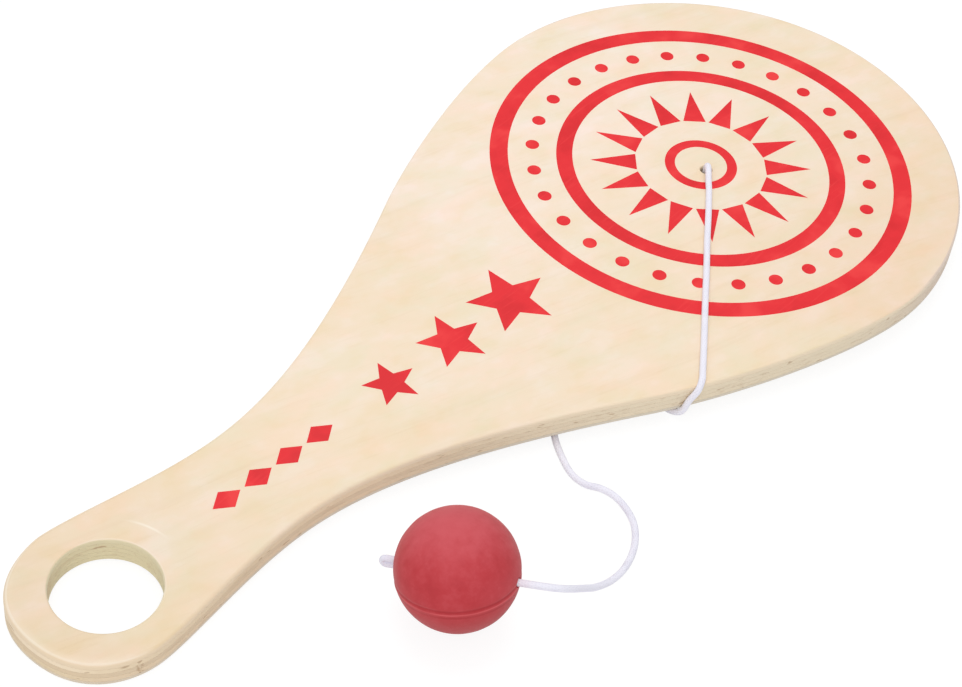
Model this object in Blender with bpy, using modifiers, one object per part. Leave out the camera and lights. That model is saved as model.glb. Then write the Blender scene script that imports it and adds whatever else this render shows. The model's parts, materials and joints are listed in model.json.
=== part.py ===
"""Paddle ball: a plywood paddle with a rubber ball on an elastic cord.

Lengths are in metres, angles in radians, and +Z is up. The paddle lies printed face up. The end of
its handle and the knot under its blade touch the ground, which tilts it by about one degree. The
elastic comes up through a hole in the blade, crosses the printed face, wraps over the edge, passes
under the paddle and runs along the ground to the ball beside the handle.

The board has a frame of its own, the empty board_frame: X runs from the handle hole to the tip of the
blade, Z is the height above the back face, and the origin is the handle hole's centre on that face.
The world origin is the middle of the footprint of paddle and ball.
"""

import math

import bmesh
import bpy
from mathutils import Euler, Matrix, Vector

MM = 0.001

# Clearances
SEAT_GAP = 0.3 * MM  # between pieces that touch on the real toy
GLUE_LINE = 0.05 * MM  # between neighbouring plies

# Plies, from the printed face down
FACE_VENEER = 1.2 * MM
CROSS_PLY = 1.25 * MM
CORE_PLY = 1.26 * MM
BACK_VENEER = 1.2 * MM
RIM_EASE = 1.2 * MM  # radius of the sanded outer rims

# Outline of the board: stations are distances from the handle hole along X
BLADE_WIDTH = 127.0 * MM
BLADE_WIDEST_AT = 193.1 * MM
SHOULDER_WIDTH = 84.0 * MM
SHOULDER_AT = 122.3 * MM
SHOULDER_SLOPE = math.radians(27.8)
NECK_WIDTH = 28.5 * MM
NECK_AT = 40.9 * MM
HANDLE_WIDTH = 37.4 * MM
HANDLE_WIDEST_AT = -1.1 * MM

# Reach of each tangent of the outline, which sets how full the curve is there
CIRCLE_REACH = 4 / 3 * (math.sqrt(2) - 1)  # share of the radius that turns a quarter circle
BLADE_SIDE_REACH = 20.2 * MM
SHOULDER_REACH_UP = 18.4 * MM
SHOULDER_REACH_DOWN = 51.2 * MM
NECK_REACH_UP = 14.7 * MM
NECK_REACH_DOWN = 15.7 * MM
HANDLE_SIDE_REACH = 8.6 * MM

# Holes
HANDLE_HOLE_RADIUS = 11.7 * MM
HANDLE_HOLE_EASE = 0.5 * MM
CORD_HOLE_RADIUS = 1.5 * MM
CORD_HOLE_AT = Vector((190.6 * MM, -2.05 * MM))
CORD_HOLE_EASE = 0.35 * MM

# Elastic
CORD_RADIUS = 0.78 * MM
HOLE_LEAN = 0.4 * MM  # how far the cord stands off the hole's centre
HOLE_BEND_RADIUS = 2.8 * MM
HOLE_BEND_RISE = 1.3 * MM  # of the bend's crown above the run on the face
HOLE_BEND_TURN = math.radians(105)
HOLE_RUN_OUT = 5.9 * MM  # from the cord in the hole to where it has nearly come down
GROUND_LIFT = 0.02 * MM  # of the cord where it lies on the ground
BACK_KNOT_RADIUS = 2.4 * MM
BACK_KNOT_LENGTH = 3.3 * MM
END_KNOT_RADIUS = 1.35 * MM
END_KNOT_LENGTH = 3.7 * MM
KNOT_WAIST = 0.14  # share of the radius drawn in between a knot's two turns
BALL_RUN_PROUD = 1.0 * MM  # of the piece in the ball, past the mouth of the bore

# Ball
BALL_RADIUS = 13.05 * MM
BALL_AT = Vector((51.5 * MM, -48.4 * MM))  # from the handle hole, on the ground
BORE_BELOW_CENTRE = 0.85 * MM  # the bore lies in the plane of the parting line
PARTING_GROOVE_DEPTH = 0.25 * MM
PARTING_GROOVE_WIDTH = 0.9 * MM
PARTING_FLASH_HEIGHT = 0.12 * MM
BALL_TURN = Euler((math.radians(-10.4), math.radians(-12.3), math.radians(-64.4)))

# Steps
OUTLINE_STEPS = 13  # along each of the outline's ten curves
RIM_STEPS = 2
HANDLE_HOLE_STEPS = 56
CORD_HOLE_STEPS = 20
EASE_STEPS = 3
BALL_STEPS = 48
BALL_RINGS = 26
GROOVE_RINGS = 8
KNOT_STEPS = 20
KNOT_RINGS = 12
ROUTE_STEPS = 24  # between two of a route's own points
TUBE_MAX_STEP = 3.9 * MM
TUBE_MAX_TURN = math.radians(20)
CUT_MARGIN = 5.0 * MM  # by which a cutter passes what it cuts

# Route of the elastic across the printed face: X, Y in the board's frame
FACE_ROUTE = (
    (184.0, -8.1),
    (181.2, -10.3),
    (177.5, -13.2),
    (170.4, -18.6),
    (162.4, -24.9),
    (153.8, -31.5),
    (145.6, -37.9),
    (139.5, -42.6),
    (136.2, -45.1),
)

# Its way down the edge: X, Y and the depth below the printed face
EDGE_ROUTE_UPPER = (
    (134.2, -46.6, -1.12),
    (132.75, -47.4, -0.68),
    (131.7, -47.72, 0.28),
    (131.0, -47.5, 1.4),
)

# The rest of the edge: X, Y and the height above the back face
EDGE_ROUTE_LOWER = (
    (130.2, -47.1, 3.4),
    (129.55, -46.95, 2.1),
    (129.05, -46.75, 0.85),
    (128.65, -46.1, -0.35),
    (128.45, -44.95, -1.15),
)

# Under the paddle: X, Y and the height of the cord's underside above the ground
UNDER_ROUTE = (
    (128.4, -43.4, 0.15),
    (128.5, -41.6, 0.0),
    (128.1, -39.1, 0.0),
    (126.2, -35.9, 0.0),
    (122.4, -32.4, 0.0),
    (117.2, -29.4, 0.0),
    (111.6, -27.5, 0.0),
    (106.6, -27.8, 0.0),
)

# Where the elastic comes out from under the paddle, on the ground
PADDLE_EXIT = (102.9, -31.1)

# From there to the ball: X, Y and the height of the cord's underside above the ground
FREE_ROUTE = (
    (99.5, -36.3, 0.0),
    (97.3, -41.4, 0.0),
    (97.4, -45.2, 0.0),
    (98.9, -48.0, 0.0),
    (99.6, -51.3, 0.0),
    (98.9, -55.3, 0.0),
    (97.2, -59.0, 0.0),
    (94.4, -62.1, 0.0),
    (90.6, -64.6, 0.05),
    (85.6, -66.4, 0.35),
    (80.4, -67.1, 1.4),
    (74.2, -67.4, 4.7),
    (69.1, -67.5, 8.8),
    (65.0, -67.4, 12.1),
    (61.6, -66.3, 14.2),
)


# Sizes that follow from the ones above
def board_thickness():
    return FACE_VENEER + 2 * CROSS_PLY + CORE_PLY + BACK_VENEER + 4 * GLUE_LINE


def blade_tip():
    return BLADE_WIDEST_AT + BLADE_WIDTH / 2


def handle_end():
    return HANDLE_WIDEST_AT - HANDLE_WIDTH / 2


def knot_drop():
    """Depth of the back knot's underside below the back face."""
    return SEAT_GAP + BACK_KNOT_LENGTH


def hole_line():
    """The cord's place in its hole, and its heading across the face, in the board's frame."""
    heading = (Vector(FACE_ROUTE[0]) * MM - CORD_HOLE_AT).normalized()
    return CORD_HOLE_AT - heading * HOLE_LEAN, heading


def board_pivot():
    """The centre of the rim's rounding at the end of the handle, on which the paddle tilts."""
    return Vector((handle_end() + RIM_EASE, 0, RIM_EASE))


def board_tilt():
    """Angle at which the back knot's underside comes to the ground."""
    pivot = board_pivot()
    run = hole_line()[0].x - pivot.x
    drop = knot_drop() + pivot.z
    return math.atan2(drop, run) - math.asin(pivot.z / math.hypot(drop, run))


def board_matrix():
    """From the board's frame to the world."""
    pivot = board_pivot()
    tilt = Matrix.Rotation(-board_tilt(), 4, "Y")
    turned = Matrix.Translation(pivot) @ tilt @ Matrix.Translation(-pivot)
    near = turned @ Vector((handle_end(), 0, board_thickness() - RIM_EASE))
    far = turned @ Vector((blade_tip(), 0, RIM_EASE))
    return Matrix.Translation((-(near.x + far.x) / 2, 0, 0)) @ turned


def footprint_shift():
    """What moves a point given from the handle hole, on the ground, to the world's origin."""
    return board_matrix().translation.xy


def on_board(x, y, z):
    return board_matrix() @ Vector((x, y, z))


def on_ground(x, y, height):
    return (Vector((x, y)) + footprint_shift()).to_3d() + Vector((0, 0, height))


def ball_matrix():
    """The ball's frame: origin on the bore's axis, X out of the mouth that the elastic enters."""
    centre = on_ground(BALL_AT.x, BALL_AT.y, BALL_RADIUS)
    turn = BALL_TURN.to_matrix().to_4x4()
    return Matrix.Translation(centre) @ turn @ Matrix.Translation((0, 0, -BORE_BELOW_CENTRE))


def bore_mouth():
    """Distance along the bore from its middle to where it leaves the ball."""
    return math.sqrt(BALL_RADIUS**2 - BORE_BELOW_CENTRE**2)


# Scene helpers
def clear_scene():
    for obj in list(bpy.data.objects):
        bpy.data.objects.remove(obj, do_unlink=True)


def new_collection(name):
    collection = bpy.data.collections.new(name)
    bpy.context.scene.collection.children.link(collection)
    return collection


def new_finish(name, colour, roughness):
    material = bpy.data.materials.new(name)
    material.use_nodes = True
    shader = material.node_tree.nodes["Principled BSDF"]
    shader.inputs["Base Color"].default_value = (*colour, 1.0)
    shader.inputs["Roughness"].default_value = roughness
    shader.inputs["Metallic"].default_value = 0.0
    return material


def new_frame(name, matrix, collection):
    """An empty that carries pieces."""
    empty = bpy.data.objects.new(name, None)
    empty.matrix_world = matrix
    empty.empty_display_size = 0.01
    collection.objects.link(empty)
    return empty


def new_piece(name, data, collection, parent=None, finish=None):
    obj = bpy.data.objects.new(name, data)
    obj.parent = parent
    collection.objects.link(obj)
    if finish:
        data.materials.append(finish)
    return obj


def make_cutter(obj):
    obj.hide_render = True
    obj.display_type = "WIRE"


def shade_round(mesh, sharp_from=math.radians(40)):
    mesh.shade_smooth()
    mesh.set_sharp_from_angle(angle=sharp_from)


def add_boolean(obj, other, operation):
    modifier = obj.modifiers.new(other.name, "BOOLEAN")
    modifier.operation = operation
    modifier.solver = "EXACT"
    modifier.object = other


def turned_mesh(name, profile):
    """A mesh of the open profile (radius, height), listed from the top down."""
    shape = bmesh.new()
    corners = [shape.verts.new((radius, 0, height)) for radius, height in profile]
    for upper, lower in zip(corners, corners[1:]):
        shape.edges.new((upper, lower))
    mesh = bpy.data.meshes.new(name)
    shape.to_mesh(mesh)
    shape.free()
    return mesh


def add_screw(obj, steps):
    screw = obj.modifiers.new("turn", "SCREW")
    screw.axis = "Z"
    screw.angle = math.tau
    screw.steps = steps
    screw.render_steps = steps
    screw.use_merge_vertices = True
    screw.merge_threshold = 0.01 * MM
    screw.use_smooth_shade = True


def box_mesh(name, low, high):
    shape = bmesh.new()
    bmesh.ops.create_cube(shape, size=1.0)
    size = Vector(high) - Vector(low)
    middle = (Vector(high) + Vector(low)) / 2
    bmesh.ops.scale(shape, verts=shape.verts, vec=size)
    bmesh.ops.translate(shape, verts=shape.verts, vec=middle)
    mesh = bpy.data.meshes.new(name)
    shape.to_mesh(mesh)
    shape.free()
    return mesh


# Board
def half_outline():
    """Corners of the outline's left half, tip to handle end: point, handle before, handle after."""
    blade = BLADE_WIDTH / 2
    handle = HANDLE_WIDTH / 2
    shoulder = Vector((SHOULDER_AT, SHOULDER_WIDTH / 2))
    slope = Vector((math.cos(SHOULDER_SLOPE), math.sin(SHOULDER_SLOPE)))
    along = Vector((1, 0))
    across = Vector((0, 1))
    tip = Vector((blade_tip(), 0))
    widest = Vector((BLADE_WIDEST_AT, blade))
    neck = Vector((NECK_AT, NECK_WIDTH / 2))
    grip = Vector((HANDLE_WIDEST_AT, handle))
    end = Vector((handle_end(), 0))
    blade_turn = CIRCLE_REACH * blade
    handle_turn = CIRCLE_REACH * handle
    return [
        (tip, tip - across * blade_turn, tip + across * blade_turn),
        (widest, widest + along * blade_turn, widest - along * BLADE_SIDE_REACH),
        (shoulder, shoulder + slope * SHOULDER_REACH_UP, shoulder - slope * SHOULDER_REACH_DOWN),
        (neck, neck + along * NECK_REACH_UP, neck - along * NECK_REACH_DOWN),
        (grip, grip + along * HANDLE_SIDE_REACH, grip - along * handle_turn),
        (end, end + across * handle_turn, end - across * handle_turn),
    ]


def whole_outline():
    """The half outline and its mirror image in the board's long axis."""
    half = half_outline()
    mirror = Vector((1, -1))
    other = [(point * mirror, after * mirror, before * mirror) for point, before, after in half[1:-1]]
    return half + other[::-1]


def build_blank(frame, collection):
    """The whole board with rounded outer rims, which every ply takes its slice of."""
    corners = whole_outline()
    curve = bpy.data.curves.new("board_blank", "CURVE")
    curve.dimensions = "2D"
    curve.fill_mode = "BOTH"
    curve.extrude = board_thickness() / 2 - RIM_EASE
    curve.bevel_depth = RIM_EASE
    curve.offset = -RIM_EASE
    curve.bevel_resolution = RIM_STEPS
    curve.resolution_u = OUTLINE_STEPS
    spline = curve.splines.new("BEZIER")
    spline.bezier_points.add(len(corners) - 1)
    spline.use_cyclic_u = True
    for corner, (point, before, after) in zip(spline.bezier_points, corners):
        corner.handle_left_type = "FREE"
        corner.handle_right_type = "FREE"
        corner.co = point.to_3d()
        corner.handle_left = before.to_3d()
        corner.handle_right = after.to_3d()
    drawn = bpy.data.objects.new("board_blank_curve", curve)
    collection.objects.link(drawn)
    bpy.context.view_layer.update()
    mesh = bpy.data.meshes.new_from_object(drawn.evaluated_get(bpy.context.evaluated_depsgraph_get()))
    bpy.data.objects.remove(drawn)
    shape = bmesh.new()
    shape.from_mesh(mesh)
    bmesh.ops.remove_doubles(shape, verts=shape.verts, dist=0.01 * MM)
    bmesh.ops.recalc_face_normals(shape, faces=shape.faces)
    bmesh.ops.translate(shape, verts=shape.verts, vec=(0, 0, board_thickness() / 2))
    shape.to_mesh(mesh)
    shape.free()
    blank = new_piece("board_blank", mesh, collection, frame)
    make_cutter(blank)
    return blank


def hole_profile(radius, ease):
    """Half section of a through hole whose two rims are rounded over."""
    top = board_thickness()
    arc = [math.pi / 2 * step / EASE_STEPS for step in range(EASE_STEPS + 1)]
    rim = [(radius + ease - ease * math.sin(turn), ease - ease * math.cos(turn)) for turn in arc]
    upper = [(out, top - depth) for out, depth in rim]
    lower = [(out, depth) for out, depth in reversed(rim)]
    above = [(0, top + CUT_MARGIN), (radius + ease, top + CUT_MARGIN)]
    below = [(radius + ease, -CUT_MARGIN), (0, -CUT_MARGIN)]
    return above + upper + lower + below


def build_hole_cutter(name, radius, ease, at, steps, frame, collection):
    cutter = new_piece(name, turned_mesh(name, hole_profile(radius, ease)), collection, frame)
    cutter.location.xy = at
    add_screw(cutter, steps)
    make_cutter(cutter)
    return cutter


def ply_stack():
    """Name, thickness, colour and roughness of each ply, from the back face up."""
    return [
        ("back_veneer", BACK_VENEER, (0.68, 0.60, 0.48), 0.62),
        ("cross_ply_lower", CROSS_PLY, (0.66, 0.50, 0.34), 0.80),
        ("core_ply", CORE_PLY, (0.52, 0.42, 0.27), 0.82),
        ("cross_ply_upper", CROSS_PLY, (0.56, 0.44, 0.36), 0.80),
        ("face_veneer", FACE_VENEER, (0.88, 0.74, 0.54), 0.50),
    ]


def build_plies(frame, parts, cutters):
    blank = build_blank(frame, cutters)
    handle_hole = build_hole_cutter(
        "handle_hole", HANDLE_HOLE_RADIUS, HANDLE_HOLE_EASE, (0, 0), HANDLE_HOLE_STEPS, frame, cutters
    )
    cord_hole = build_hole_cutter(
        "cord_hole", CORD_HOLE_RADIUS, CORD_HOLE_EASE, CORD_HOLE_AT, CORD_HOLE_STEPS, frame, cutters
    )
    plies = ply_stack()
    floor = 0
    for index, (name, thickness, colour, roughness) in enumerate(plies):
        low = floor if index > 0 else -CUT_MARGIN
        high = floor + thickness if index < len(plies) - 1 else board_thickness() + CUT_MARGIN
        reach = BLADE_WIDTH / 2 + HANDLE_WIDTH + CUT_MARGIN
        mesh = box_mesh(
            name,
            (handle_end() - CUT_MARGIN, -reach, low),
            (blade_tip() + CUT_MARGIN, reach, high),
        )
        ply = new_piece(name, mesh, parts, frame, new_finish(name, colour, roughness))
        add_boolean(ply, blank, "INTERSECT")
        add_boolean(ply, handle_hole, "DIFFERENCE")
        add_boolean(ply, cord_hole, "DIFFERENCE")
        floor += thickness + GLUE_LINE


# Elastic
def hole_route():
    """Up through the hole from the back face, and round the bend onto the printed face."""
    foot, heading = hole_line()
    face_height = board_thickness() + SEAT_GAP + CORD_RADIUS
    centre_height = face_height + HOLE_BEND_RISE - HOLE_BEND_RADIUS
    points = [on_board(foot.x, foot.y, 0), on_board(foot.x, foot.y, centre_height / 2)]
    bend_steps = 4
    for step in range(bend_steps + 1):
        turn = HOLE_BEND_TURN * step / bend_steps
        place = foot + heading * HOLE_BEND_RADIUS * (1 - math.cos(turn))
        points.append(on_board(place.x, place.y, centre_height + HOLE_BEND_RADIUS * math.sin(turn)))
    run_out = foot + heading * HOLE_RUN_OUT
    points.append(on_board(run_out.x, run_out.y, face_height + HOLE_BEND_RISE / 4))
    return points


def paddle_route():
    """The elastic's centre line from the hole to where it leaves the paddle."""
    top = board_thickness()
    face_height = top + SEAT_GAP + CORD_RADIUS
    lying = CORD_RADIUS + GROUND_LIFT
    points = hole_route()
    points += [on_board(x * MM, y * MM, face_height) for x, y in FACE_ROUTE]
    points += [on_board(x * MM, y * MM, top - depth * MM) for x, y, depth in EDGE_ROUTE_UPPER]
    points += [on_board(x * MM, y * MM, height * MM) for x, y, height in EDGE_ROUTE_LOWER]
    points += [on_ground(x * MM, y * MM, lying + height * MM) for x, y, height in UNDER_ROUTE]
    points.append(on_ground(PADDLE_EXIT[0] * MM, PADDLE_EXIT[1] * MM, lying))
    return points


def free_route():
    """The centre line from where the elastic leaves the paddle to the mouth of the ball's bore."""
    lying = CORD_RADIUS + GROUND_LIFT
    points = [on_ground(x * MM, y * MM, lying + height * MM) for x, y, height in FREE_ROUTE]
    ball = ball_matrix()
    mouth = bore_mouth() + BALL_RUN_PROUD + SEAT_GAP
    lead_in = 1.6 * MM
    points.append(ball @ Vector((mouth + lead_in, 0, 0)))
    points.append(ball @ Vector((mouth, 0, 0)))
    return points


def smooth_curve(points):
    """A centripetal Catmull-Rom curve through the points, ROUTE_STEPS to each span."""
    ends = [2 * points[0] - points[1], *points, 2 * points[-1] - points[-2]]
    curve = []
    for before, start, end, after in zip(ends, ends[1:], ends[2:], ends[3:]):
        knots = [0.0]
        for first, second in ((before, start), (start, end), (end, after)):
            knots.append(knots[-1] + math.sqrt((second - first).length))
        for step in range(ROUTE_STEPS):
            at = knots[1] + (knots[2] - knots[1]) * step / ROUTE_STEPS
            level = [before, start, end, after]
            for order in (1, 2):
                level = [
                    blend(level[i], level[i + 1], knots[i], knots[i + order], at)
                    for i in range(len(level) - 1)
                ]
            curve.append(blend(level[0], level[1], knots[1], knots[2], at))
    curve.append(points[-1])
    return curve


def blend(first, second, first_at, second_at, at):
    """The point at a parameter on the line through two points at their own parameters."""
    return first.lerp(second, (at - first_at) / (second_at - first_at))


def trim_start(points, length):
    """The curve without its first stretch of that length."""
    for index, (first, second) in enumerate(zip(points, points[1:])):
        step = (second - first).length
        if step >= length:
            return [first.lerp(second, length / step), *points[index + 1 :]]
        length -= step
    return points


def thin_curve(points):
    """Fewer points: one after each TUBE_MAX_STEP or TUBE_MAX_TURN, and a short run at each end."""
    start = trim_start(points, CORD_RADIUS)
    end = trim_start(points[::-1], CORD_RADIUS)[0]
    kept = [points[0], start[0]]
    run = 0.0
    turn = 0.0
    for before, here, after in zip(start, start[1:], start[2:]):
        if (points[-1] - here).length < 2 * CORD_RADIUS:
            break
        run += (here - before).length
        turn += (here - before).angle(after - here)
        if run >= TUBE_MAX_STEP or turn >= TUBE_MAX_TURN:
            kept.append(here)
            run = 0.0
            turn = 0.0
    return [*kept, end, points[-1]]


def build_cord(name, points, finish, collection, parent=None):
    curve = bpy.data.curves.new(name, "CURVE")
    curve.dimensions = "3D"
    curve.bevel_depth = CORD_RADIUS
    curve.bevel_resolution = 2
    curve.use_fill_caps = True
    spline = curve.splines.new("POLY")
    spline.points.add(len(points) - 1)
    for corner, point in zip(spline.points, points):
        corner.co = (*point, 1.0)
    return new_piece(name, curve, collection, parent, finish)


def knot_profile(radius, length):
    """A barrel with a drawn-in waist, as an overhand knot has, from the top down to a flat foot."""
    fullness = 3.0
    foot = 0.45
    points = [(0, length)]
    for ring in range(1, KNOT_RINGS):
        share = ring / KNOT_RINGS
        barrel = (1 - abs(2 * share - 1) ** fullness) ** (1 / fullness)
        waist = 1 - KNOT_WAIST * math.cos(math.pi * (share - 0.5)) ** 8
        points.append((radius * max(barrel * waist, foot), length * (1 - share)))
    points.append((radius * foot, 0))
    points.append((0, 0))
    return points


def build_knot(name, radius, length, finish, collection, parent=None):
    knot = new_piece(name, turned_mesh(name, knot_profile(radius, length)), collection, parent, finish)
    add_screw(knot, KNOT_STEPS)
    return knot


def build_elastic(ball_frame, parts):
    finish = new_finish("elastic", (0.80, 0.79, 0.82), 0.75)
    to_paddle_edge = smooth_curve(paddle_route() + free_route())
    exit_index = (len(paddle_route()) - 1) * ROUTE_STEPS
    on_paddle = to_paddle_edge[: exit_index + 1]
    loose = trim_start(to_paddle_edge[exit_index:], SEAT_GAP)
    build_cord("elastic_face_run", thin_curve(on_paddle), finish, parts)
    build_cord("elastic_free_run", thin_curve(loose), finish, parts)
    mouth = bore_mouth()
    in_ball = [Vector((at, 0, 0)) for at in (mouth + BALL_RUN_PROUD, 0, -mouth)]
    build_cord("elastic_ball_run", in_ball, finish, parts, ball_frame)
    back_knot = build_knot("elastic_back_knot", BACK_KNOT_RADIUS, BACK_KNOT_LENGTH, finish, parts)
    foot = hole_line()[0]
    back_knot.location = on_board(foot.x, foot.y, -knot_drop())
    end_knot = build_knot(
        "elastic_end_knot", END_KNOT_RADIUS, END_KNOT_LENGTH, finish, parts, ball_frame
    )
    end_knot.location.x = -mouth - SEAT_GAP
    end_knot.rotation_euler = (0, -math.pi / 2, 0)


# Ball
def ball_profile():
    """Half section of the ball, with the groove and the raised flash of its mould's parting line."""
    parting = math.asin(-BORE_BELOW_CENTRE / BALL_RADIUS)
    band = PARTING_GROOVE_WIDTH / BALL_RADIUS
    plain = [math.pi / 2 - math.pi * ring / BALL_RINGS for ring in range(BALL_RINGS + 1)]
    plain = [latitude for latitude in plain if abs(latitude - parting) > 2 * band]
    fine = [parting + band * (2 * step / GROOVE_RINGS - 1) * 1.5 for step in range(GROOVE_RINGS + 1)]
    profile = []
    for latitude in sorted(plain + fine, reverse=True):
        place = (latitude - parting) / band
        groove = PARTING_GROOVE_DEPTH * math.exp(-((2 * place) ** 2))
        flash = PARTING_FLASH_HEIGHT * math.exp(-((2 * place + 2) ** 2))
        radius = BALL_RADIUS - groove + flash
        out = max(radius * math.cos(latitude), 0)
        profile.append((out, radius * math.sin(latitude) + BORE_BELOW_CENTRE))
    profile[0] = (0, profile[0][1])
    profile[-1] = (0, profile[-1][1])
    return profile


def build_ball(ball_frame, parts, cutters):
    bore_radius = CORD_RADIUS + SEAT_GAP
    reach = BALL_RADIUS + CUT_MARGIN
    bore_section = [(0, reach), (bore_radius, reach), (bore_radius, -reach), (0, -reach)]
    bore = new_piece("ball_bore", turned_mesh("ball_bore", bore_section), cutters, ball_frame)
    bore.rotation_euler = (0, math.pi / 2, 0)
    add_screw(bore, CORD_HOLE_STEPS)
    make_cutter(bore)
    finish = new_finish("ball", (0.58, 0.06, 0.08), 0.60)
    ball = new_piece("ball", turned_mesh("ball", ball_profile()), parts, ball_frame, finish)
    add_screw(ball, BALL_STEPS)
    add_boolean(ball, bore, "DIFFERENCE")


def main():
    clear_scene()
    parts = new_collection("paddle_ball")
    cutters = new_collection("cutters")
    board_frame = new_frame("board_frame", board_matrix(), parts)
    ball_frame = new_frame("ball_frame", ball_matrix(), parts)
    build_plies(board_frame, parts, cutters)
    build_elastic(ball_frame, parts)
    build_ball(ball_frame, parts, cutters)
    bpy.context.view_layer.update()


main()
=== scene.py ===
"""Looks of a paddle ball: a plywood board with a red print, a braided elastic and a rubber ball.

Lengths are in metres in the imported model's frame, +Z up, unless a name ends in _mm. The board has a
frame of its own: X runs from the handle hole to the blade's tip, Z is the height above the back face,
and the origin is near the handle hole's centre on that face. A span says where a change begins and
where it is complete, and may run either way.
"""

import json
import logging
import math
from collections.abc import Iterable
from dataclasses import dataclass, field
from enum import Enum

import bmesh
import bpy
from mathutils import Euler, Matrix, Vector, noise


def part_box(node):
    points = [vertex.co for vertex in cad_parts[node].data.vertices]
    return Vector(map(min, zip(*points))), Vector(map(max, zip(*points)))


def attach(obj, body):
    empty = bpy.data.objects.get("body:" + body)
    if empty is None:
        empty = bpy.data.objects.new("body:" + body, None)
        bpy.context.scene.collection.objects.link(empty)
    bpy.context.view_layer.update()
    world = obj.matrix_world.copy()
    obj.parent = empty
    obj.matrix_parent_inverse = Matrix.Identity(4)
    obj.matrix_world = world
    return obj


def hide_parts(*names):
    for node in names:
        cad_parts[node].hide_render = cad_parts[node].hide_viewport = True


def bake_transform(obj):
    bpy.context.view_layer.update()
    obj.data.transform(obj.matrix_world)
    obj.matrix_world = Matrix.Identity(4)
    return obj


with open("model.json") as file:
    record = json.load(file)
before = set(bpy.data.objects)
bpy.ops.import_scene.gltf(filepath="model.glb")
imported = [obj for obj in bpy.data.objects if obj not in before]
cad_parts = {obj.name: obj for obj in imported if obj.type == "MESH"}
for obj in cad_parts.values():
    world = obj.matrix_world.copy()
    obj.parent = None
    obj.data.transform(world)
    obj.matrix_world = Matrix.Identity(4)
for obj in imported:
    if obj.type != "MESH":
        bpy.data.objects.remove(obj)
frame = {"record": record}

LOG = logging.getLogger("paddle_ball")
MM = 0.001
QUARTER_TURN = math.pi / 2

Colour = tuple[float, float, float, float]
Span = tuple[float, float]
Triple = tuple[float, float, float]
Socket = bpy.types.NodeSocket
Node = bpy.types.Node
Tree = bpy.types.NodeTree
Loop = list[bmesh.types.BMVert]


class Body(Enum):
    """The bodies that pieces ride on."""

    PADDLE = "paddle"
    ELASTIC_END = "elastic_end"
    BALL = "ball"


class Slot(Enum):
    """The record's material slots."""

    FACE_WOOD = "face_wood"
    CROSS_PLY_WOOD = "cross_ply_wood"
    CORE_WOOD = "core_wood"
    BACK_WOOD = "back_wood"
    ELASTIC = "elastic"
    BALL_RUBBER = "ball_rubber"


class Motif(Enum):
    """Shapes of the print, each with the corners of the circle it is drawn from."""

    DISC = 40
    LOZENGE = 4
    RAY = 3
    STAR = 5


class Layout(Enum):
    """How the motifs of one print piece are laid out."""

    RING = "ring"
    ROW = "row"


def paint(red: int, green: int, blue: int) -> Colour:
    """Turn a colour on the 0 to 255 sRGB scale into linear light, with an alpha of 1."""

    def linear(level: int) -> float:
        """Undo the display's curve for one level."""
        share = level / 255
        return share / 12.92 if share <= 0.04045 else ((share + 0.055) / 1.055) ** 2.4

    return (linear(red), linear(green), linear(blue), 1.0)


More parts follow.
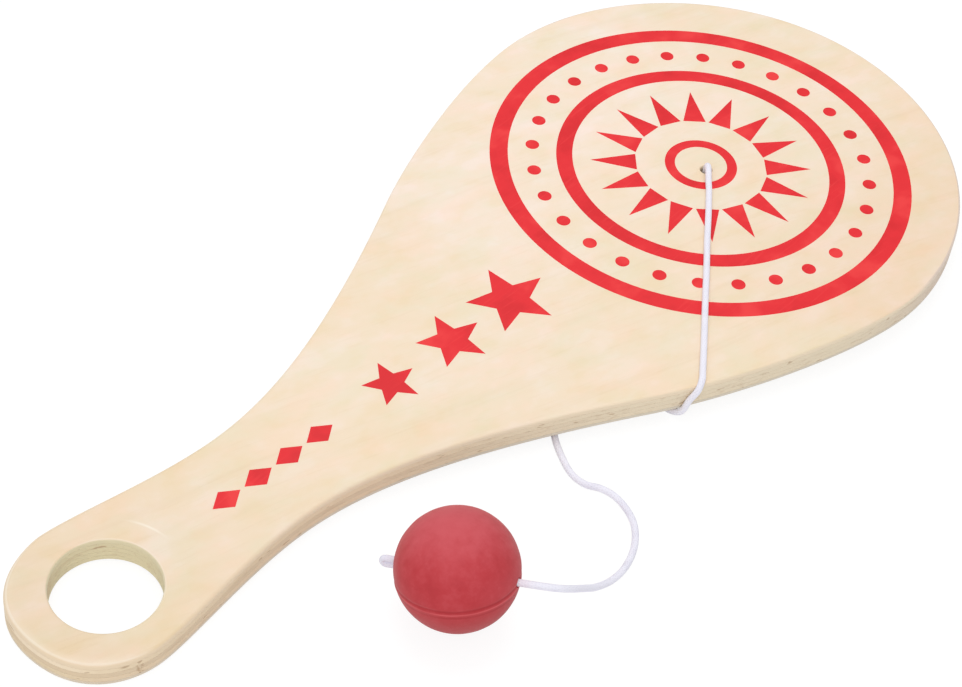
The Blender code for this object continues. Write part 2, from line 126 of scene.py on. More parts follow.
class Graph:
    """Short calls that add and wire the nodes of one tree."""

    node_step: float = 180.0

    def __init__(self, tree: Tree) -> None:
        """Take the tree to work in."""
        self.tree = tree

    def node(self, kind: str, values: dict[str | int, object] | None = None, **settings: object) -> Node:
        """Add a node.

        Args:
            kind: The node's type name.
            values: For each input, by name or number, a socket to link or a constant.
            **settings: Properties of the node.

        Returns:
            The new node.
        """
        made = self.tree.nodes.new(kind)
        made.location.x = self.node_step * len(self.tree.nodes)
        for name, setting in settings.items():
            setattr(made, name, setting)
        for key, value in (values or {}).items():
            self.feed(made.inputs[key], value)
        return made

    def feed(self, socket: Socket, value: object) -> None:
        """Link a socket to another one, or set its constant."""
        if isinstance(value, bpy.types.NodeSocket):
            self.tree.links.new(value, socket)
        else:
            socket.default_value = value

    def set(self, node: Node, **values: object) -> None:
        """Feed a node's inputs, each named with _ for a space."""
        for name, value in values.items():
            self.feed(node.inputs[name.replace("_", " ")], value)

    def group(self, tree: Tree, **values: object) -> Node:
        """Place a shader group and feed its inputs, each named with _ for a space."""
        made = self.node("ShaderNodeGroup", node_tree=tree)
        self.set(made, **values)
        return made

    def math(self, operation: str, *values: object) -> Socket:
        """Return the result of a Math node on sockets or numbers."""
        return self.node("ShaderNodeMath", dict(enumerate(values)), operation=operation).outputs[0]

    def times(self, first: object, *others: object) -> Socket:
        """Return the product of sockets and numbers."""
        for other in others:
            first = self.math("MULTIPLY", first, other)
        return first

    def vector_math(self, operation: str, first: object, second: object) -> Node:
        """Return a Vector Math node on two sockets or vectors."""
        return self.node("ShaderNodeVectorMath", {0: first, 1: second}, operation=operation)

    def stretch(self, vector: object, scale: object) -> Socket:
        """Return coordinates multiplied along each axis."""
        return self.vector_math("MULTIPLY", vector, scale).outputs[0]

    def split(self, vector: Socket) -> tuple[Socket, ...]:
        """Return the three parts of a vector."""
        return tuple(self.node("ShaderNodeSeparateXYZ", {0: vector}).outputs)

    def join(self, x: object, y: object, z: object) -> Socket:
        """Return a vector of three parts."""
        return self.node("ShaderNodeCombineXYZ", {0: x, 1: y, 2: z}).outputs[0]

    def off_axis(self, place: Socket, axis: Triple) -> Socket:
        """Return how far a place is from the upright line through a point at height 0."""
        flat = self.stretch(place, (1.0, 1.0, 0.0))
        return self.vector_math("DISTANCE", flat, axis).outputs["Value"]

    def mix(self, share: object, first: object, second: object, mode: str = "MIX") -> Socket:
        """Return two colours mixed by a share."""
        made = self.node(
            "ShaderNodeMix", {0: share, 6: first, 7: second}, data_type="RGBA", blend_type=mode
        )
        return made.outputs[2]

    def noise(self, place: object, scale: object, detail: float = 2.0, roughness: float = 0.5) -> Socket:
        """Return the value of a noise texture."""
        values = {"Vector": place, "Scale": scale, "Detail": detail, "Roughness": roughness}
        return self.node("ShaderNodeTexNoise", values).outputs["Fac"]

    def spread(self, value: object, span: Span, to: Span = (0.0, 1.0)) -> Socket:
        """Return a value mapped from one span to another, with smooth ends."""
        values = {
            "Value": value,
            "From Min": span[0],
            "From Max": span[1],
            "To Min": to[0],
            "To Max": to[1],
        }
        return self.node("ShaderNodeMapRange", values, interpolation_type="SMOOTHSTEP").outputs["Result"]

    def place(self, matrix: Matrix) -> Socket:
        """Return object coordinates seen from a frame, given as it stands in those coordinates."""
        back = matrix.inverted()
        values = {
            "Vector": self.node("ShaderNodeTexCoord").outputs["Object"],
            "Location": back.translation,
            "Rotation": back.to_euler(),
        }
        return self.node("ShaderNodeMapping", values).outputs["Vector"]

    def bump(self, shader: Node, height: Socket, distance: float, strength: float) -> None:
        """Feed a shader's normal from a height."""
        values = {"Height": height, "Distance": distance, "Strength": strength}
        self.feed(shader.inputs["Normal"], self.node("ShaderNodeBump", values).outputs["Normal"])


class SharedEffects:
    """Shader groups that more than one finish uses."""

    sway_scale: float = 9.0
    sway: Triple = (0.0, 0.012, 0.012)
    streak_height: float = 0.5
    pore_length: float = 12.0
    pore_span: Span = (0.60, 0.74)
    warm_span: Span = (0.50, 0.68)
    cool_span: Span = (0.50, 0.33)
    speck_span: Span = (0.0, 0.08)

    def __init__(self) -> None:
        """Build every group."""
        self.grain = self.build_grain()
        self.mottle = self.build_mottle()
        self.specks = self.build_specks()

    @staticmethod
    def start(
        name: str, inputs: dict[str, object], outputs: dict[str, str]
    ) -> tuple[Graph, bpy.types.NodeOutputs, bpy.types.NodeInputs]:
        """Start a shader group.

        Args:
            name: The group's name.
            inputs: For each input its default: a number, a colour, or None for a vector.
            outputs: For each output Float or Color.

        Returns:
            The group's graph, the sockets that give its inputs and those that take its outputs.
        """
        tree = bpy.data.node_groups.new(name, "ShaderNodeTree")
        for label, default in inputs.items():
            kind = "Float" if isinstance(default, float) else "Color" if default else "Vector"
            socket = tree.interface.new_socket(label, in_out="INPUT", socket_type=f"NodeSocket{kind}")
            if default is not None:
                socket.default_value = default
        for label, kind in outputs.items():
            tree.interface.new_socket(label, in_out="OUTPUT", socket_type=f"NodeSocket{kind}")
        graph = Graph(tree)
        return graph, graph.node("NodeGroupInput").outputs, graph.node("NodeGroupOutput").inputs

    def build_grain(self) -> Tree:
        """Long wood fibres along X: soft streaks, fine pores and a height for bumps."""
        graph, source, result = self.start(
            "wood_grain",
            {"Vector": None, "Streak Length": 7.0, "Streak Pitch": 320.0, "Pore Pitch": 1500.0},
            {"Streaks": "Float", "Pores": "Float", "Height": "Float"},
        )
        length = source["Streak Length"]
        pitch = source["Streak Pitch"]
        pore_pitch = source["Pore Pitch"]
        waver = graph.node(
            "ShaderNodeTexNoise", {"Vector": source["Vector"], "Scale": self.sway_scale, "Detail": 1.0}
        )
        swayed = graph.stretch(waver.outputs["Color"], self.sway)
        bent = graph.vector_math("ADD", source["Vector"], swayed).outputs[0]
        coarse = graph.join(length, pitch, pitch)
        fine = graph.join(graph.times(length, self.pore_length), pore_pitch, pore_pitch)
        streaks = graph.noise(graph.stretch(bent, coarse), 1.0, detail=3.0, roughness=0.6)
        pores = graph.noise(graph.stretch(bent, fine), 1.0, detail=1.0)
        pores = graph.spread(pores, self.pore_span)
        graph.feed(result["Streaks"], streaks)
        graph.feed(result["Pores"], pores)
        raised = graph.times(streaks, self.streak_height)
        graph.feed(result["Height"], graph.math("SUBTRACT", raised, pores))
        return graph.tree

    def build_mottle(self) -> Tree:
        """Soft patches that shift a surface between three colours."""
        grey = (0.5, 0.5, 0.5, 1.0)
        graph, source, result = self.start(
            "mottle",
            {"Vector": None, "Scale": 30.0, "Middle": grey, "Warm": grey, "Cool": grey},
            {"Color": "Color", "Mask": "Float"},
        )
        value = graph.noise(source["Vector"], source["Scale"], detail=3.0, roughness=0.55)
        warm = graph.mix(graph.spread(value, self.warm_span), source["Middle"], source["Warm"])
        graph.feed(result["Color"], graph.mix(graph.spread(value, self.cool_span), warm, source["Cool"]))
        graph.feed(result["Mask"], value)
        return graph.tree

    def build_specks(self) -> Tree:
        """Small specks of wear or dust."""
        graph, source, result = self.start(
            "specks", {"Vector": None, "Scale": 900.0, "Threshold": 0.66}, {"Mask": "Float"}
        )
        value = graph.noise(source["Vector"], source["Scale"])
        over = graph.math("SUBTRACT", value, source["Threshold"])
        graph.feed(result["Mask"], graph.spread(over, self.speck_span))
        return graph.tree


@dataclass(frozen=True)
class BoardFrame:
    """Where the board stands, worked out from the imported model."""

    handle_end: float = -19.8 * MM
    core_top: float = 3.81 * MM

    def matrix(self) -> Matrix:
        """From the board's frame to the model's, by the back face's mount and the core ply's box."""
        mount = next(entry for entry in frame["record"]["mounts"] if entry["name"] == "back_face")
        up = -Vector(mount["axis"])
        tilt = math.atan2(-up.x, up.z)
        near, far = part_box("core_ply")
        point = Vector(mount["pos_m"])
        left = near[0] - math.cos(tilt) * self.handle_end + math.sin(tilt) * self.core_top
        side = (near[1] + far[1]) / 2
        low = point.z - math.tan(tilt) * (point.x - left)
        return Matrix.Translation((left, side, low)) @ Matrix.Rotation(-tilt, 4, "Y")


BOARD = BoardFrame().matrix()

# On the board: the handle hole's middle, a touch off the centre line, and that of the handle's end
HANDLE_HOLE_AT = (0.15 * MM, -0.13 * MM, 0.0)
HANDLE_MIDDLE_AT = (-1.35 * MM, 0.0, 0.0)


def on_board(x: float, y: float, z: float) -> Vector:
    """Return a point of the board's frame in the model's frame."""
    return BOARD @ Vector((x, y, z))


def on_ground(x: float, y: float, height: float) -> Vector:
    """Return a point given from the handle hole, at a height above the ground."""
    return Vector((x + BOARD.translation.x, y + BOARD.translation.y, height))


def joint_named(name: str) -> dict[str, object]:
    """Return a joint of the record."""
    return next(joint for joint in frame["record"]["behaviour"]["joints"] if joint["name"] == name)


def new_material(name: str) -> tuple[bpy.types.Material, Graph, Node]:
    """Start a material.

    Args:
        name: The material's name.

    Returns:
        The material, its graph and its Principled shader.
    """
    material = bpy.data.materials.new(name)
    material.use_nodes = True
    return material, Graph(material.node_tree), material.node_tree.nodes["Principled BSDF"]


class Spot:
    """Sockets that say where a point of the board lies and how its surface leans."""

    def __init__(self, graph: Graph) -> None:
        """Add the nodes that give them.

        Args:
            graph: The material's graph.
        """
        self.place = graph.place(BOARD)
        self.along, self.across, _ = graph.split(self.place)
        self.normal = graph.split(graph.node("ShaderNodeNewGeometry").outputs["Normal"])
        self.level = graph.math("ABSOLUTE", self.normal[2])
        self.from_hole = graph.off_axis(self.place, HANDLE_HOLE_AT)


@dataclass(frozen=True)
class PressedArc:
    """A faint arc pressed into the printed face beside the handle hole."""

    centre: Triple = (0.0, 0.0, 6.36 * MM)
    radius: float = 17.25 * MM
    width: float = 0.5 * MM
    start_span: Span = (0.0, 5.0 * MM)
    start_share: float = 0.8
    end_span: Span = (11.5 * MM, 5.5 * MM)
    ahead_span: Span = (0.0, 1.0 * MM)

    def mask(self, graph: Graph, spot: Spot) -> Socket:
        """Return how far a point is in the arc, from 0 to 1."""
        away = graph.vector_math("DISTANCE", spot.place, self.centre).outputs["Value"]
        off_line = graph.math("ABSOLUTE", graph.math("SUBTRACT", away, self.radius))
        return graph.times(
            graph.spread(off_line, (self.width, 0.0)),
            graph.spread(spot.across, self.start_span, (0.0, self.start_share)),
            graph.spread(spot.across, self.end_span),
            graph.spread(spot.along, self.ahead_span),
        )


@dataclass(frozen=True)
class FaceWood:
    """Sanded pale veneer under a thin varnish, with its rim's cut edge."""

    name: str
    # The pale tone of rubbed wear, also used for the painted highlight on the handle's end
    wear_and_highlight: Colour
    middle: Colour
    yellow: Colour
    lavender: Colour
    pink: Colour
    green: Colour
    streak: Colour
    rim: Colour
    hole: Colour
    grip: Colour
    pale: Colour
    tan: Colour
    tip: Colour
    roughness: float = 0.46
    smoother: float = 0.05
    rougher: float = 0.08
    gloss_span: Span = (0.3, 0.8)
    dent: PressedArc | None = None

    # The figure, which runs a little off the board's length
    figure_turn: float = math.radians(-16.0)
    figure_stretch: Triple = (0.65, 1.0, 1.0)
    patch_scale: float = 34.0
    patch_share: float = 0.7
    fine_scale: float = 150.0
    tint_scale: float = 120.0
    tint_shift: Triple = (0.31, 0.17, 0.0)
    streak_span: Span = (0.50, 0.80)
    streak_share: float = 0.36
    pore_share: float = 0.15

    # The slow change of tone along and across the board: partly the wood's tone, partly painted light that
    # makes the blade paler and the handle darker
    grip_span: Span = (70.0 * MM, -10.0 * MM)
    grip_share: float = 0.5
    blade_start_span: Span = (105.0 * MM, 140.0 * MM)
    blade_end_span: Span = (240.0 * MM, 215.0 * MM)
    far_half_span: Span = (-25.0 * MM, 35.0 * MM)
    far_half_share: float = 0.7
    near_half_span: Span = (-5.0 * MM, -60.0 * MM)
    near_half_share: float = 0.6
    near_tip_span: Span = (145.0 * MM, 190.0 * MM)
    handle_end_span: Span = (2.0 * MM, -14.0 * MM)
    handle_end_share: float = 0.55

    # The handle's end: a painted highlight, partly rubbed wear, on the rim's bend that faces -X and in a
    # soft band of the face beside it
    bend_start_span: Span = (0.998, 0.96)
    bend_end_span: Span = (0.60, 0.90)
    facing_end_span: Span = (-0.03, -0.20)
    bend_share: float = 0.55
    band_span: Span = (16.0 * MM, 18.4 * MM)
    band_share: float = 0.35
    band_end_span: Span = (-4.0 * MM, -12.0 * MM)
    band_side_span: Span = (9.0 * MM, -1.0 * MM)
    band_side_shares: Span = (0.2, 1.0)
    band_level_span: Span = (0.96, 0.99)

    # The rim's cut edge, the painted shade on the rim's bend by the tip, and the hole's wall
    rim_span: Span = (0.85, 0.45)
    rim_grip_share: float = 0.6
    tip_span: Span = (193.0 * MM, 207.0 * MM)
    tip_share: float = 0.85
    tip_level_span: Span = (0.997, 0.94)
    hole_span: Span = (11.95 * MM, 11.75 * MM)

    def build(self, effects: SharedEffects) -> bpy.types.Material:
        """Return the material."""
        material, graph, shader = new_material(self.name)
        spot = Spot(graph)
        figure = graph.place(BOARD @ Matrix.Rotation(self.figure_turn, 4, "Z"))
        grain = graph.group(effects.grain, Vector=figure)
        # Darker toward the handle: partly the wood's tone, partly painted shade
        in_grip = graph.spread(spot.along, self.grip_span)
        ground = graph.mix(graph.times(in_grip, self.grip_share), self.slow_tone(graph, spot), self.grip)
        wood = self.figured(graph, effects, ground, graph.stretch(figure, self.figure_stretch))
        darker = self.shifted(graph, wood, self.streak)
        streaks = graph.spread(grain.outputs["Streaks"], self.streak_span, (0.0, self.streak_share))
        wood = graph.mix(streaks, wood, darker)
        wood = graph.mix(graph.times(grain.outputs["Pores"], self.pore_share), wood, darker)
        # Painted highlight on the handle's end, partly rubbed wear
        wood = self.rubbed_and_lit(graph, spot, wood, in_grip)
        wood = self.rimmed(graph, spot, wood, in_grip)
        if self.dent:
            wood = graph.mix(self.dent.mask(graph, spot), wood, self.wear_and_highlight)
        gloss = (self.roughness - self.smoother, self.roughness + self.rougher)
        rough = graph.spread(grain.outputs["Streaks"], self.gloss_span, gloss)
        graph.set(shader, Base_Color=wood, Roughness=rough, Specular_IOR_Level=0.35)
        graph.bump(shader, grain.outputs["Height"], distance=0.04 * MM, strength=0.35)
        return material

    def shifted(self, graph: Graph, wood: Socket, tone: Colour) -> Socket:
        """Return a colour moved by as much as a tone lies from the veneer's middle one."""
        share = tuple(there / here for there, here in zip(tone, self.middle))
        return graph.mix(1.0, wood, share, "MULTIPLY")

    def figured(self, graph: Graph, effects: SharedEffects, wood: Socket, place: Socket) -> Socket:
        """The wood's figure: wide and fine patches of yellow and lavender, and fainter tints.

        Args:
            graph: The material's graph.
            effects: The shared shader groups.
            wood: The colour so far.
            place: Coordinates drawn out along the figure.

        Returns:
            The figured colour.
        """
        apart = graph.vector_math("ADD", place, self.tint_shift).outputs[0]
        layers = (
            (self.patch_share, place, self.patch_scale, self.yellow, self.lavender),
            (1.0, place, self.fine_scale, self.yellow, self.lavender),
            (1.0, apart, self.tint_scale, self.pink, self.green),
        )
        for share, where, scale, warm, cool in layers:
            patches = graph.group(
                effects.mottle,
                Vector=where,
                Scale=scale,
                Middle=wood,
                Warm=self.shifted(graph, wood, warm),
                Cool=self.shifted(graph, wood, cool),
            )
            wood = graph.mix(share, wood, patches.outputs["Color"])
        return wood

    def slow_tone(self, graph: Graph, spot: Spot) -> Socket:
        """The tone before its figure: paler on the far half, browner by the tip and the handle's end; the
        paler blade and the darker handle are partly painted light.
        """
        far_half = graph.times(
            graph.spread(spot.across, self.far_half_span, (0.0, self.far_half_share)),
            graph.spread(spot.along, self.blade_start_span),
            graph.spread(spot.along, self.blade_end_span),
        )
        near_half = graph.times(
            graph.spread(spot.across, self.near_half_span, (0.0, self.near_half_share)),
            graph.spread(spot.along, self.near_tip_span),
        )
        handle_end = graph.spread(spot.along, self.handle_end_span, (0.0, self.handle_end_share))
        tone = graph.mix(far_half, self.middle, self.pale)
        tone = graph.mix(near_half, tone, self.tan)
        return graph.mix(handle_end, tone, self.grip)

    def rubbed_and_lit(self, graph: Graph, spot: Spot, wood: Socket, in_grip: Socket) -> Socket:
        """A painted highlight on the handle's end, partly rubbed wear: paler on the bend that faces -X and
        on the face beside it.
        """
        # Painted highlight: the bend is paler only where it faces -X
        on_bend = graph.times(
            graph.spread(spot.level, self.bend_start_span),
            graph.spread(spot.level, self.bend_end_span),
            graph.spread(spot.normal[0], self.facing_end_span),
            in_grip,
            self.bend_share,
        )
        from_middle = graph.off_axis(spot.place, HANDLE_MIDDLE_AT)
        on_face = graph.times(
            graph.spread(from_middle, self.band_span, (0.0, self.band_share)),
            graph.spread(spot.along, self.band_end_span),
            graph.spread(spot.across, self.band_side_span, self.band_side_shares),
            graph.spread(spot.level, self.band_level_span),
        )
        return graph.mix(on_face, graph.mix(on_bend, wood, self.wear_and_highlight), self.wear_and_highlight)

    def rimmed(self, graph: Graph, spot: Spot, wood: Socket, in_grip: Socket) -> Socket:
        """The veneer's cut edge, round the board and in the handle hole, with painted shade on the rim's
        bend by the blade's tip.
        """
        rim = graph.mix(graph.times(in_grip, self.rim_grip_share), self.rim, self.grip)
        wood = graph.mix(graph.spread(spot.level, self.rim_span), wood, rim)
        # Painted shade: the rounded rim by the tip is darkened to the tip's edge tone
        at_tip = graph.times(
            graph.spread(spot.level, self.tip_level_span),
            graph.spread(spot.along, self.tip_span, (0.0, self.tip_share)),
        )
        wood = graph.mix(at_tip, wood, self.tip)
        return graph.mix(graph.spread(spot.from_hole, self.hole_span), wood, self.hole)


@dataclass(frozen=True)
class CutPly:
    """The sawn edge of a ply: long fibres where the cut follows the grain, dark ends across it."""

    name: str
    along: Colour
    across: Colour
    grain_on_x: bool
    pitted: float
    pit: Colour
    grey: Colour
    tip: Colour
    hole: Colour
    hole_shaded_side: Colour
    end_grain_span: Span = (0.25, 0.95)
    drift_scale: float = 60.0
    drift_span: Span = (0.40, 0.70)
    drift_share: float = 0.6
    grey_span: Span = (50.0 * MM, 130.0 * MM)
    tip_span: Span = (165.0 * MM, 225.0 * MM)
    place_share: float = 0.85
    hole_span: Span = (12.9 * MM, 12.6 * MM)
    hole_shaded_side_span: Span = (0.25, 0.90)
    fibre_length: float = 45.0
    fibre_pitch: float = 900.0
    fibre_pore_pitch: float = 3000.0
    fibre_span: Span = (0.50, 0.78)
    fibre_share: float = 0.4
    quiet_end_span: Span = (-14.0 * MM, -2.0 * MM)
    quiet_end_share: float = 0.35
    pit_stretch: Triple = (0.5, 0.5, 1.6)
    pit_scale: float = 520.0
    pit_share: float = 0.8
    scar_at: Triple = (-6.4 * MM, -18.0 * MM, 0.0)
    scar_span: Span = (1.2 * MM, 0.4 * MM)
    scar_scale: float = 1100.0
    scar_tear_span: Span = (0.46, 0.60)
    scar_share: float = 0.85

    def build(self, effects: SharedEffects) -> bpy.types.Material:
        """Return the material."""
        material, graph, shader = new_material(self.name)
        spot = Spot(graph)
        facing = graph.math("ABSOLUTE", spot.normal[0 if self.grain_on_x else 1])
        wall = graph.mix(graph.spread(facing, self.end_grain_span), self.along, self.across)
        drift = graph.spread(
            graph.noise(spot.place, self.drift_scale), self.drift_span, (0.0, self.drift_share)
        )
        wall = graph.mix(drift, wall, self.across)
        for span, tone in ((self.grey_span, self.grey), (self.tip_span, self.tip)):
            wall = graph.mix(graph.spread(spot.along, span, (0.0, self.place_share)), wall, tone)
        in_hole = graph.spread(spot.from_hole, self.hole_span)
        # Painted shade: the hole's wall that faces +X is darker
        shaded_side = graph.spread(spot.normal[0], self.hole_shaded_side_span)
        wall = graph.mix(in_hole, wall, graph.mix(shaded_side, self.hole, self.hole_shaded_side))
        strands = graph.group(
            effects.grain,
            Vector=spot.place,
            Streak_Length=self.fibre_length,
            Streak_Pitch=self.fibre_pitch,
            Pore_Pitch=self.fibre_pore_pitch,
        )
        holes = graph.group(
            effects.specks,
            Vector=graph.stretch(spot.place, self.pit_stretch),
            Scale=self.pit_scale,
            Threshold=self.pitted,
        )
        fibres = graph.times(
            graph.spread(strands.outputs["Streaks"], self.fibre_span, (0.0, self.fibre_share)),
            graph.spread(spot.along, self.quiet_end_span, (self.quiet_end_share, 1.0)),
        )
        for mask in (fibres, graph.times(holes.outputs["Mask"], self.pit_share), self.scar(graph, spot)):
            wall = graph.mix(mask, wall, self.pit)
        graph.set(shader, Base_Color=wall, Roughness=0.72, Specular_IOR_Level=0.25)
        height = graph.math("SUBTRACT", strands.outputs["Height"], holes.outputs["Mask"])
        graph.bump(shader, height, distance=0.06 * MM, strength=0.45)
        return material

    def scar(self, graph: Graph, spot: Spot) -> Socket:
        """Return how far a point is in the torn mark by the handle's end, from 0 to 1."""
        torn = graph.noise(spot.place, self.scar_scale)
        return graph.times(
            graph.spread(graph.off_axis(spot.place, self.scar_at), self.scar_span),
            graph.spread(torn, self.scar_tear_span, (0.0, self.scar_share)),
        )


@dataclass(frozen=True)
class PrintInk:
    """Screen-printed red ink, a little thin over the grain."""

    name: str
    full: Colour
    thin: Colour
    thick: Colour
    patch_scale: float = 90.0
    pore_share: float = 0.35
    gloss_span: Span = (0.3, 0.7)
    roughness: Span = (0.42, 0.55)

    def build(self, effects: SharedEffects) -> bpy.types.Material:
        """Return the material."""
        material, graph, shader = new_material(self.name)
        place = graph.place(BOARD)
        patches = graph.group(
            effects.mottle,
            Vector=place,
            Scale=self.patch_scale,
            Middle=self.full,
            Warm=self.thin,
            Cool=self.thick,
        )
        grain = graph.group(effects.grain, Vector=place)
        in_pores = graph.times(grain.outputs["Pores"], self.pore_share)
        colour = graph.mix(in_pores, patches.outputs["Color"], self.thin)
        rough = graph.spread(patches.outputs["Mask"], self.gloss_span, self.roughness)
        graph.set(shader, Base_Color=colour, Roughness=rough, Specular_IOR_Level=0.3)
        graph.bump(shader, grain.outputs["Height"], distance=0.03 * MM, strength=0.3)
        return material


@dataclass(frozen=True)
class BallRubber:
    """Moulded red rubber with a dusty bloom, paler toward the top partly as painted light from above, and a
    parting line with painted shade in its groove, a painted highlight on the flash below it and a darker
    line further down.
    """

    name: str
    body: Colour
    bloom: Colour
    deep: Colour
    ridge_highlight: Colour
    shade: Colour
    patch_scales: tuple[float, ...] = (120.0, 430.0)
    patch_share: float = 0.16
    smear_stretch: Triple = (1.0, 1.0, 0.5)
    smear_scale: float = 300.0
    smear_share: float = 0.6
    # Paler toward the top: dust, and painted light from above
    dust_and_light_reach: float = 16.0 * MM
    dust_and_light_span: Span = (0.62, 1.25)
    dust_share: float = 0.75
    shade_span: Span = (3.0 * MM, -9.0 * MM)
    shade_share: float = 0.6
    speck_scale: float = 1400.0
    speck_threshold: float = 0.60
    speck_share: float = 0.08
    wear_scale: float = 70.0
    wear_span: Span = (0.38, 0.58)
    least_wear: float = 0.5
    gloss_span: Span = (0.3, 0.7)
    roughness: Span = (0.58, 0.70)
    pit_scale: float = 2600.0
    line_core: float = 0.1

    # Lines round the ball: height above the parting line, reach to each side, strength. The seam is painted
    # shade in the groove, the ridge a painted highlight on the flash
    seam: Triple = (0.0, 0.50 * MM, 0.70)
    ridge_line: Triple = (-0.78 * MM, 0.30 * MM, 0.85)
    crease: Triple = (-1.6 * MM, 0.45 * MM, 0.65)

    def build(self, effects: SharedEffects, ball: Matrix) -> bpy.types.Material:
        """Return the material.

        Args:
            effects: The shared groups.
            ball: The ball's frame, whose origin lies in the parting line's plane, square to Z.

        Returns:
            The material.
        """
        material, graph, shader = new_material(self.name)
        place = graph.place(ball)
        height = graph.split(place)[2]
        colour = self.body
        masks = []
        for scale in self.patch_scales:
            patches = graph.group(
                effects.mottle, Vector=place, Scale=scale, Middle=self.body, Warm=self.bloom, Cool=self.deep
            )
            masks.append(patches.outputs["Mask"])
            colour = graph.mix(self.patch_share, colour, patches.outputs["Color"])
        drawn = graph.stretch(place, self.smear_stretch)
        smear = graph.noise(drawn, self.smear_scale, detail=3.0, roughness=0.6)
        # Paler toward the top: dust, and painted light from above
        risen = graph.math("DIVIDE", height, self.dust_and_light_reach)
        dust_and_top_light = graph.math("ADD", risen, graph.times(smear, self.smear_share))
        colour = graph.mix(graph.spread(dust_and_top_light, self.dust_and_light_span, (0.0, self.dust_share)), colour, self.bloom)
        below = graph.spread(height, self.shade_span, (0.0, self.shade_share))
        colour = graph.mix(below, colour, self.shade)
        specks = graph.group(
            effects.specks, Vector=place, Scale=self.speck_scale, Threshold=self.speck_threshold
        )
        colour = graph.mix(graph.times(specks.outputs["Mask"], self.speck_share), colour, self.bloom)
        wear = graph.noise(place, self.wear_scale, detail=1.0)
        wear = graph.spread(wear, self.wear_span, (self.least_wear, 1.0))
        # Painted highlight on the flash's ridge, a darker crease line, and painted shade in the seam's
        # groove
        lines = ((self.ridge_line, self.ridge_highlight), (self.crease, self.deep), (self.seam, self.deep))
        for (at, reach, strength), tint in lines:
            off = graph.math("ABSOLUTE", graph.math("SUBTRACT", height, at))
            on_line = graph.times(graph.spread(off, (reach, self.line_core * reach)), wear, strength)
            colour = graph.mix(on_line, colour, tint)
        rough = graph.spread(masks[0], self.gloss_span, self.roughness)
        graph.set(
            shader,
            Base_Color=colour,
            Roughness=rough,
            Specular_IOR_Level=0.2,
            Sheen_Weight=0.11,
            Sheen_Roughness=0.5,
        )
        pits = graph.noise(place, self.pit_scale, roughness=0.6)
        graph.bump(shader, pits, distance=0.03 * MM, strength=0.35)
        return material


@dataclass(frozen=True)
class BraidedElastic:
    """Off-white braid over a rubber core, read from the cord's own UV map."""

    name: str
    thread: Colour
    gap: Colour
    carriers: float = 8.0
    pitch: float = 1.3 * MM
    gap_span: Span = (0.55, 0.10)
    dust_scale: float = 260.0
    dust_share: float = 0.25

    def build(self, effects: SharedEffects) -> bpy.types.Material:
        """Return the material."""
        material, graph, shader = new_material(self.name)
        turns, run, _ = graph.split(graph.node("ShaderNodeUVMap", uv_map="run").outputs[0])
        round_turns = graph.times(turns, self.carriers)
        along_turns = graph.math("DIVIDE", run, self.pitch)
        rising, falling = (
            self.wave(graph, graph.math(way, round_turns, along_turns)) for way in ("ADD", "SUBTRACT")
        )
        height = graph.math("MAXIMUM", rising, falling)
        # Painted shade: the gaps between the braid's strands are darker
        colour = graph.mix(graph.spread(height, self.gap_span), self.thread, self.gap)
        dust = graph.group(
            effects.mottle,
            Vector=graph.node("ShaderNodeTexCoord").outputs["Object"],
            Scale=self.dust_scale,
            Middle=self.thread,
            Warm=self.gap,
            Cool=self.thread,
        )
        colour = graph.mix(self.dust_share, colour, dust.outputs["Color"])
        graph.set(shader, Base_Color=colour, Roughness=0.78, Specular_IOR_Level=0.25)
        graph.bump(shader, height, distance=0.09 * MM, strength=0.6)
        return material

    @staticmethod
    def wave(graph: Graph, turns: Socket) -> Socket:
        """Return 0 to 1 to 0 once a turn."""
        return graph.math("ABSOLUTE", graph.math("SINE", graph.times(turns, math.pi)))


@dataclass(frozen=True)
class PaleFloor:
    """A pale floor that the camera sees as white, with the object's shadow kept faint."""

    name: str = "pale_floor"
    glow: float = 0.86
    share_of_light: float = 0.20
    bounce: Colour = (0.85, 0.85, 0.85, 1.0)

    def build(self) -> bpy.types.Material:
        """Return the material."""
        material, graph, shader = new_material(self.name)
        graph.set(shader, Base_Color=self.bounce, Roughness=0.9, Specular_IOR_Level=0.0)
        rays = graph.node("ShaderNodeLightPath").outputs
        seen = graph.math("MAXIMUM", rays["Is Camera Ray"], rays["Is Glossy Ray"])
        light = graph.node("ShaderNodeEmission", {"Strength": self.glow})
        dimmed = graph.node("ShaderNodeBsdfDiffuse", {"Color": (self.share_of_light,) * 3 + (1.0,)})
        both = graph.node("ShaderNodeAddShader", {0: light.outputs[0], 1: dimmed.outputs[0]})
        choice = graph.node("ShaderNodeMixShader", {0: seen, 1: shader.outputs[0], 2: both.outputs[0]})
        output = material.node_tree.nodes["Material Output"]
        graph.feed(output.inputs["Surface"], choice.outputs[0])
        return material


def new_object(name: str, data: bpy.types.ID) -> bpy.types.Object:
    """Add a mesh, camera or light to the scene as an object at the origin."""
    made = bpy.data.objects.new(name, data)
    bpy.context.scene.collection.objects.link(made)
    return made


def mesh_from(shape: bmesh.types.BMesh, name: str, sharp_from: float = 40.0) -> bpy.types.Mesh:
    """Turn a bmesh into a smooth-shaded mesh.

    Args:
        shape: The bmesh, which is freed.
        name: The mesh's name.
        sharp_from: Angle in degrees from which an edge stays sharp.

    Returns:
        The mesh.
    """
    mesh = bpy.data.meshes.new(name)
    shape.to_mesh(mesh)
    shape.free()
    mesh.shade_smooth()
    mesh.set_sharp_from_angle(angle=math.radians(sharp_from))
    return mesh


def turns_of(steps: int, full: float = math.tau) -> list[float]:
    """Return the angles of even steps through a turn, without its end."""
    return [full * step / steps for step in range(steps)]


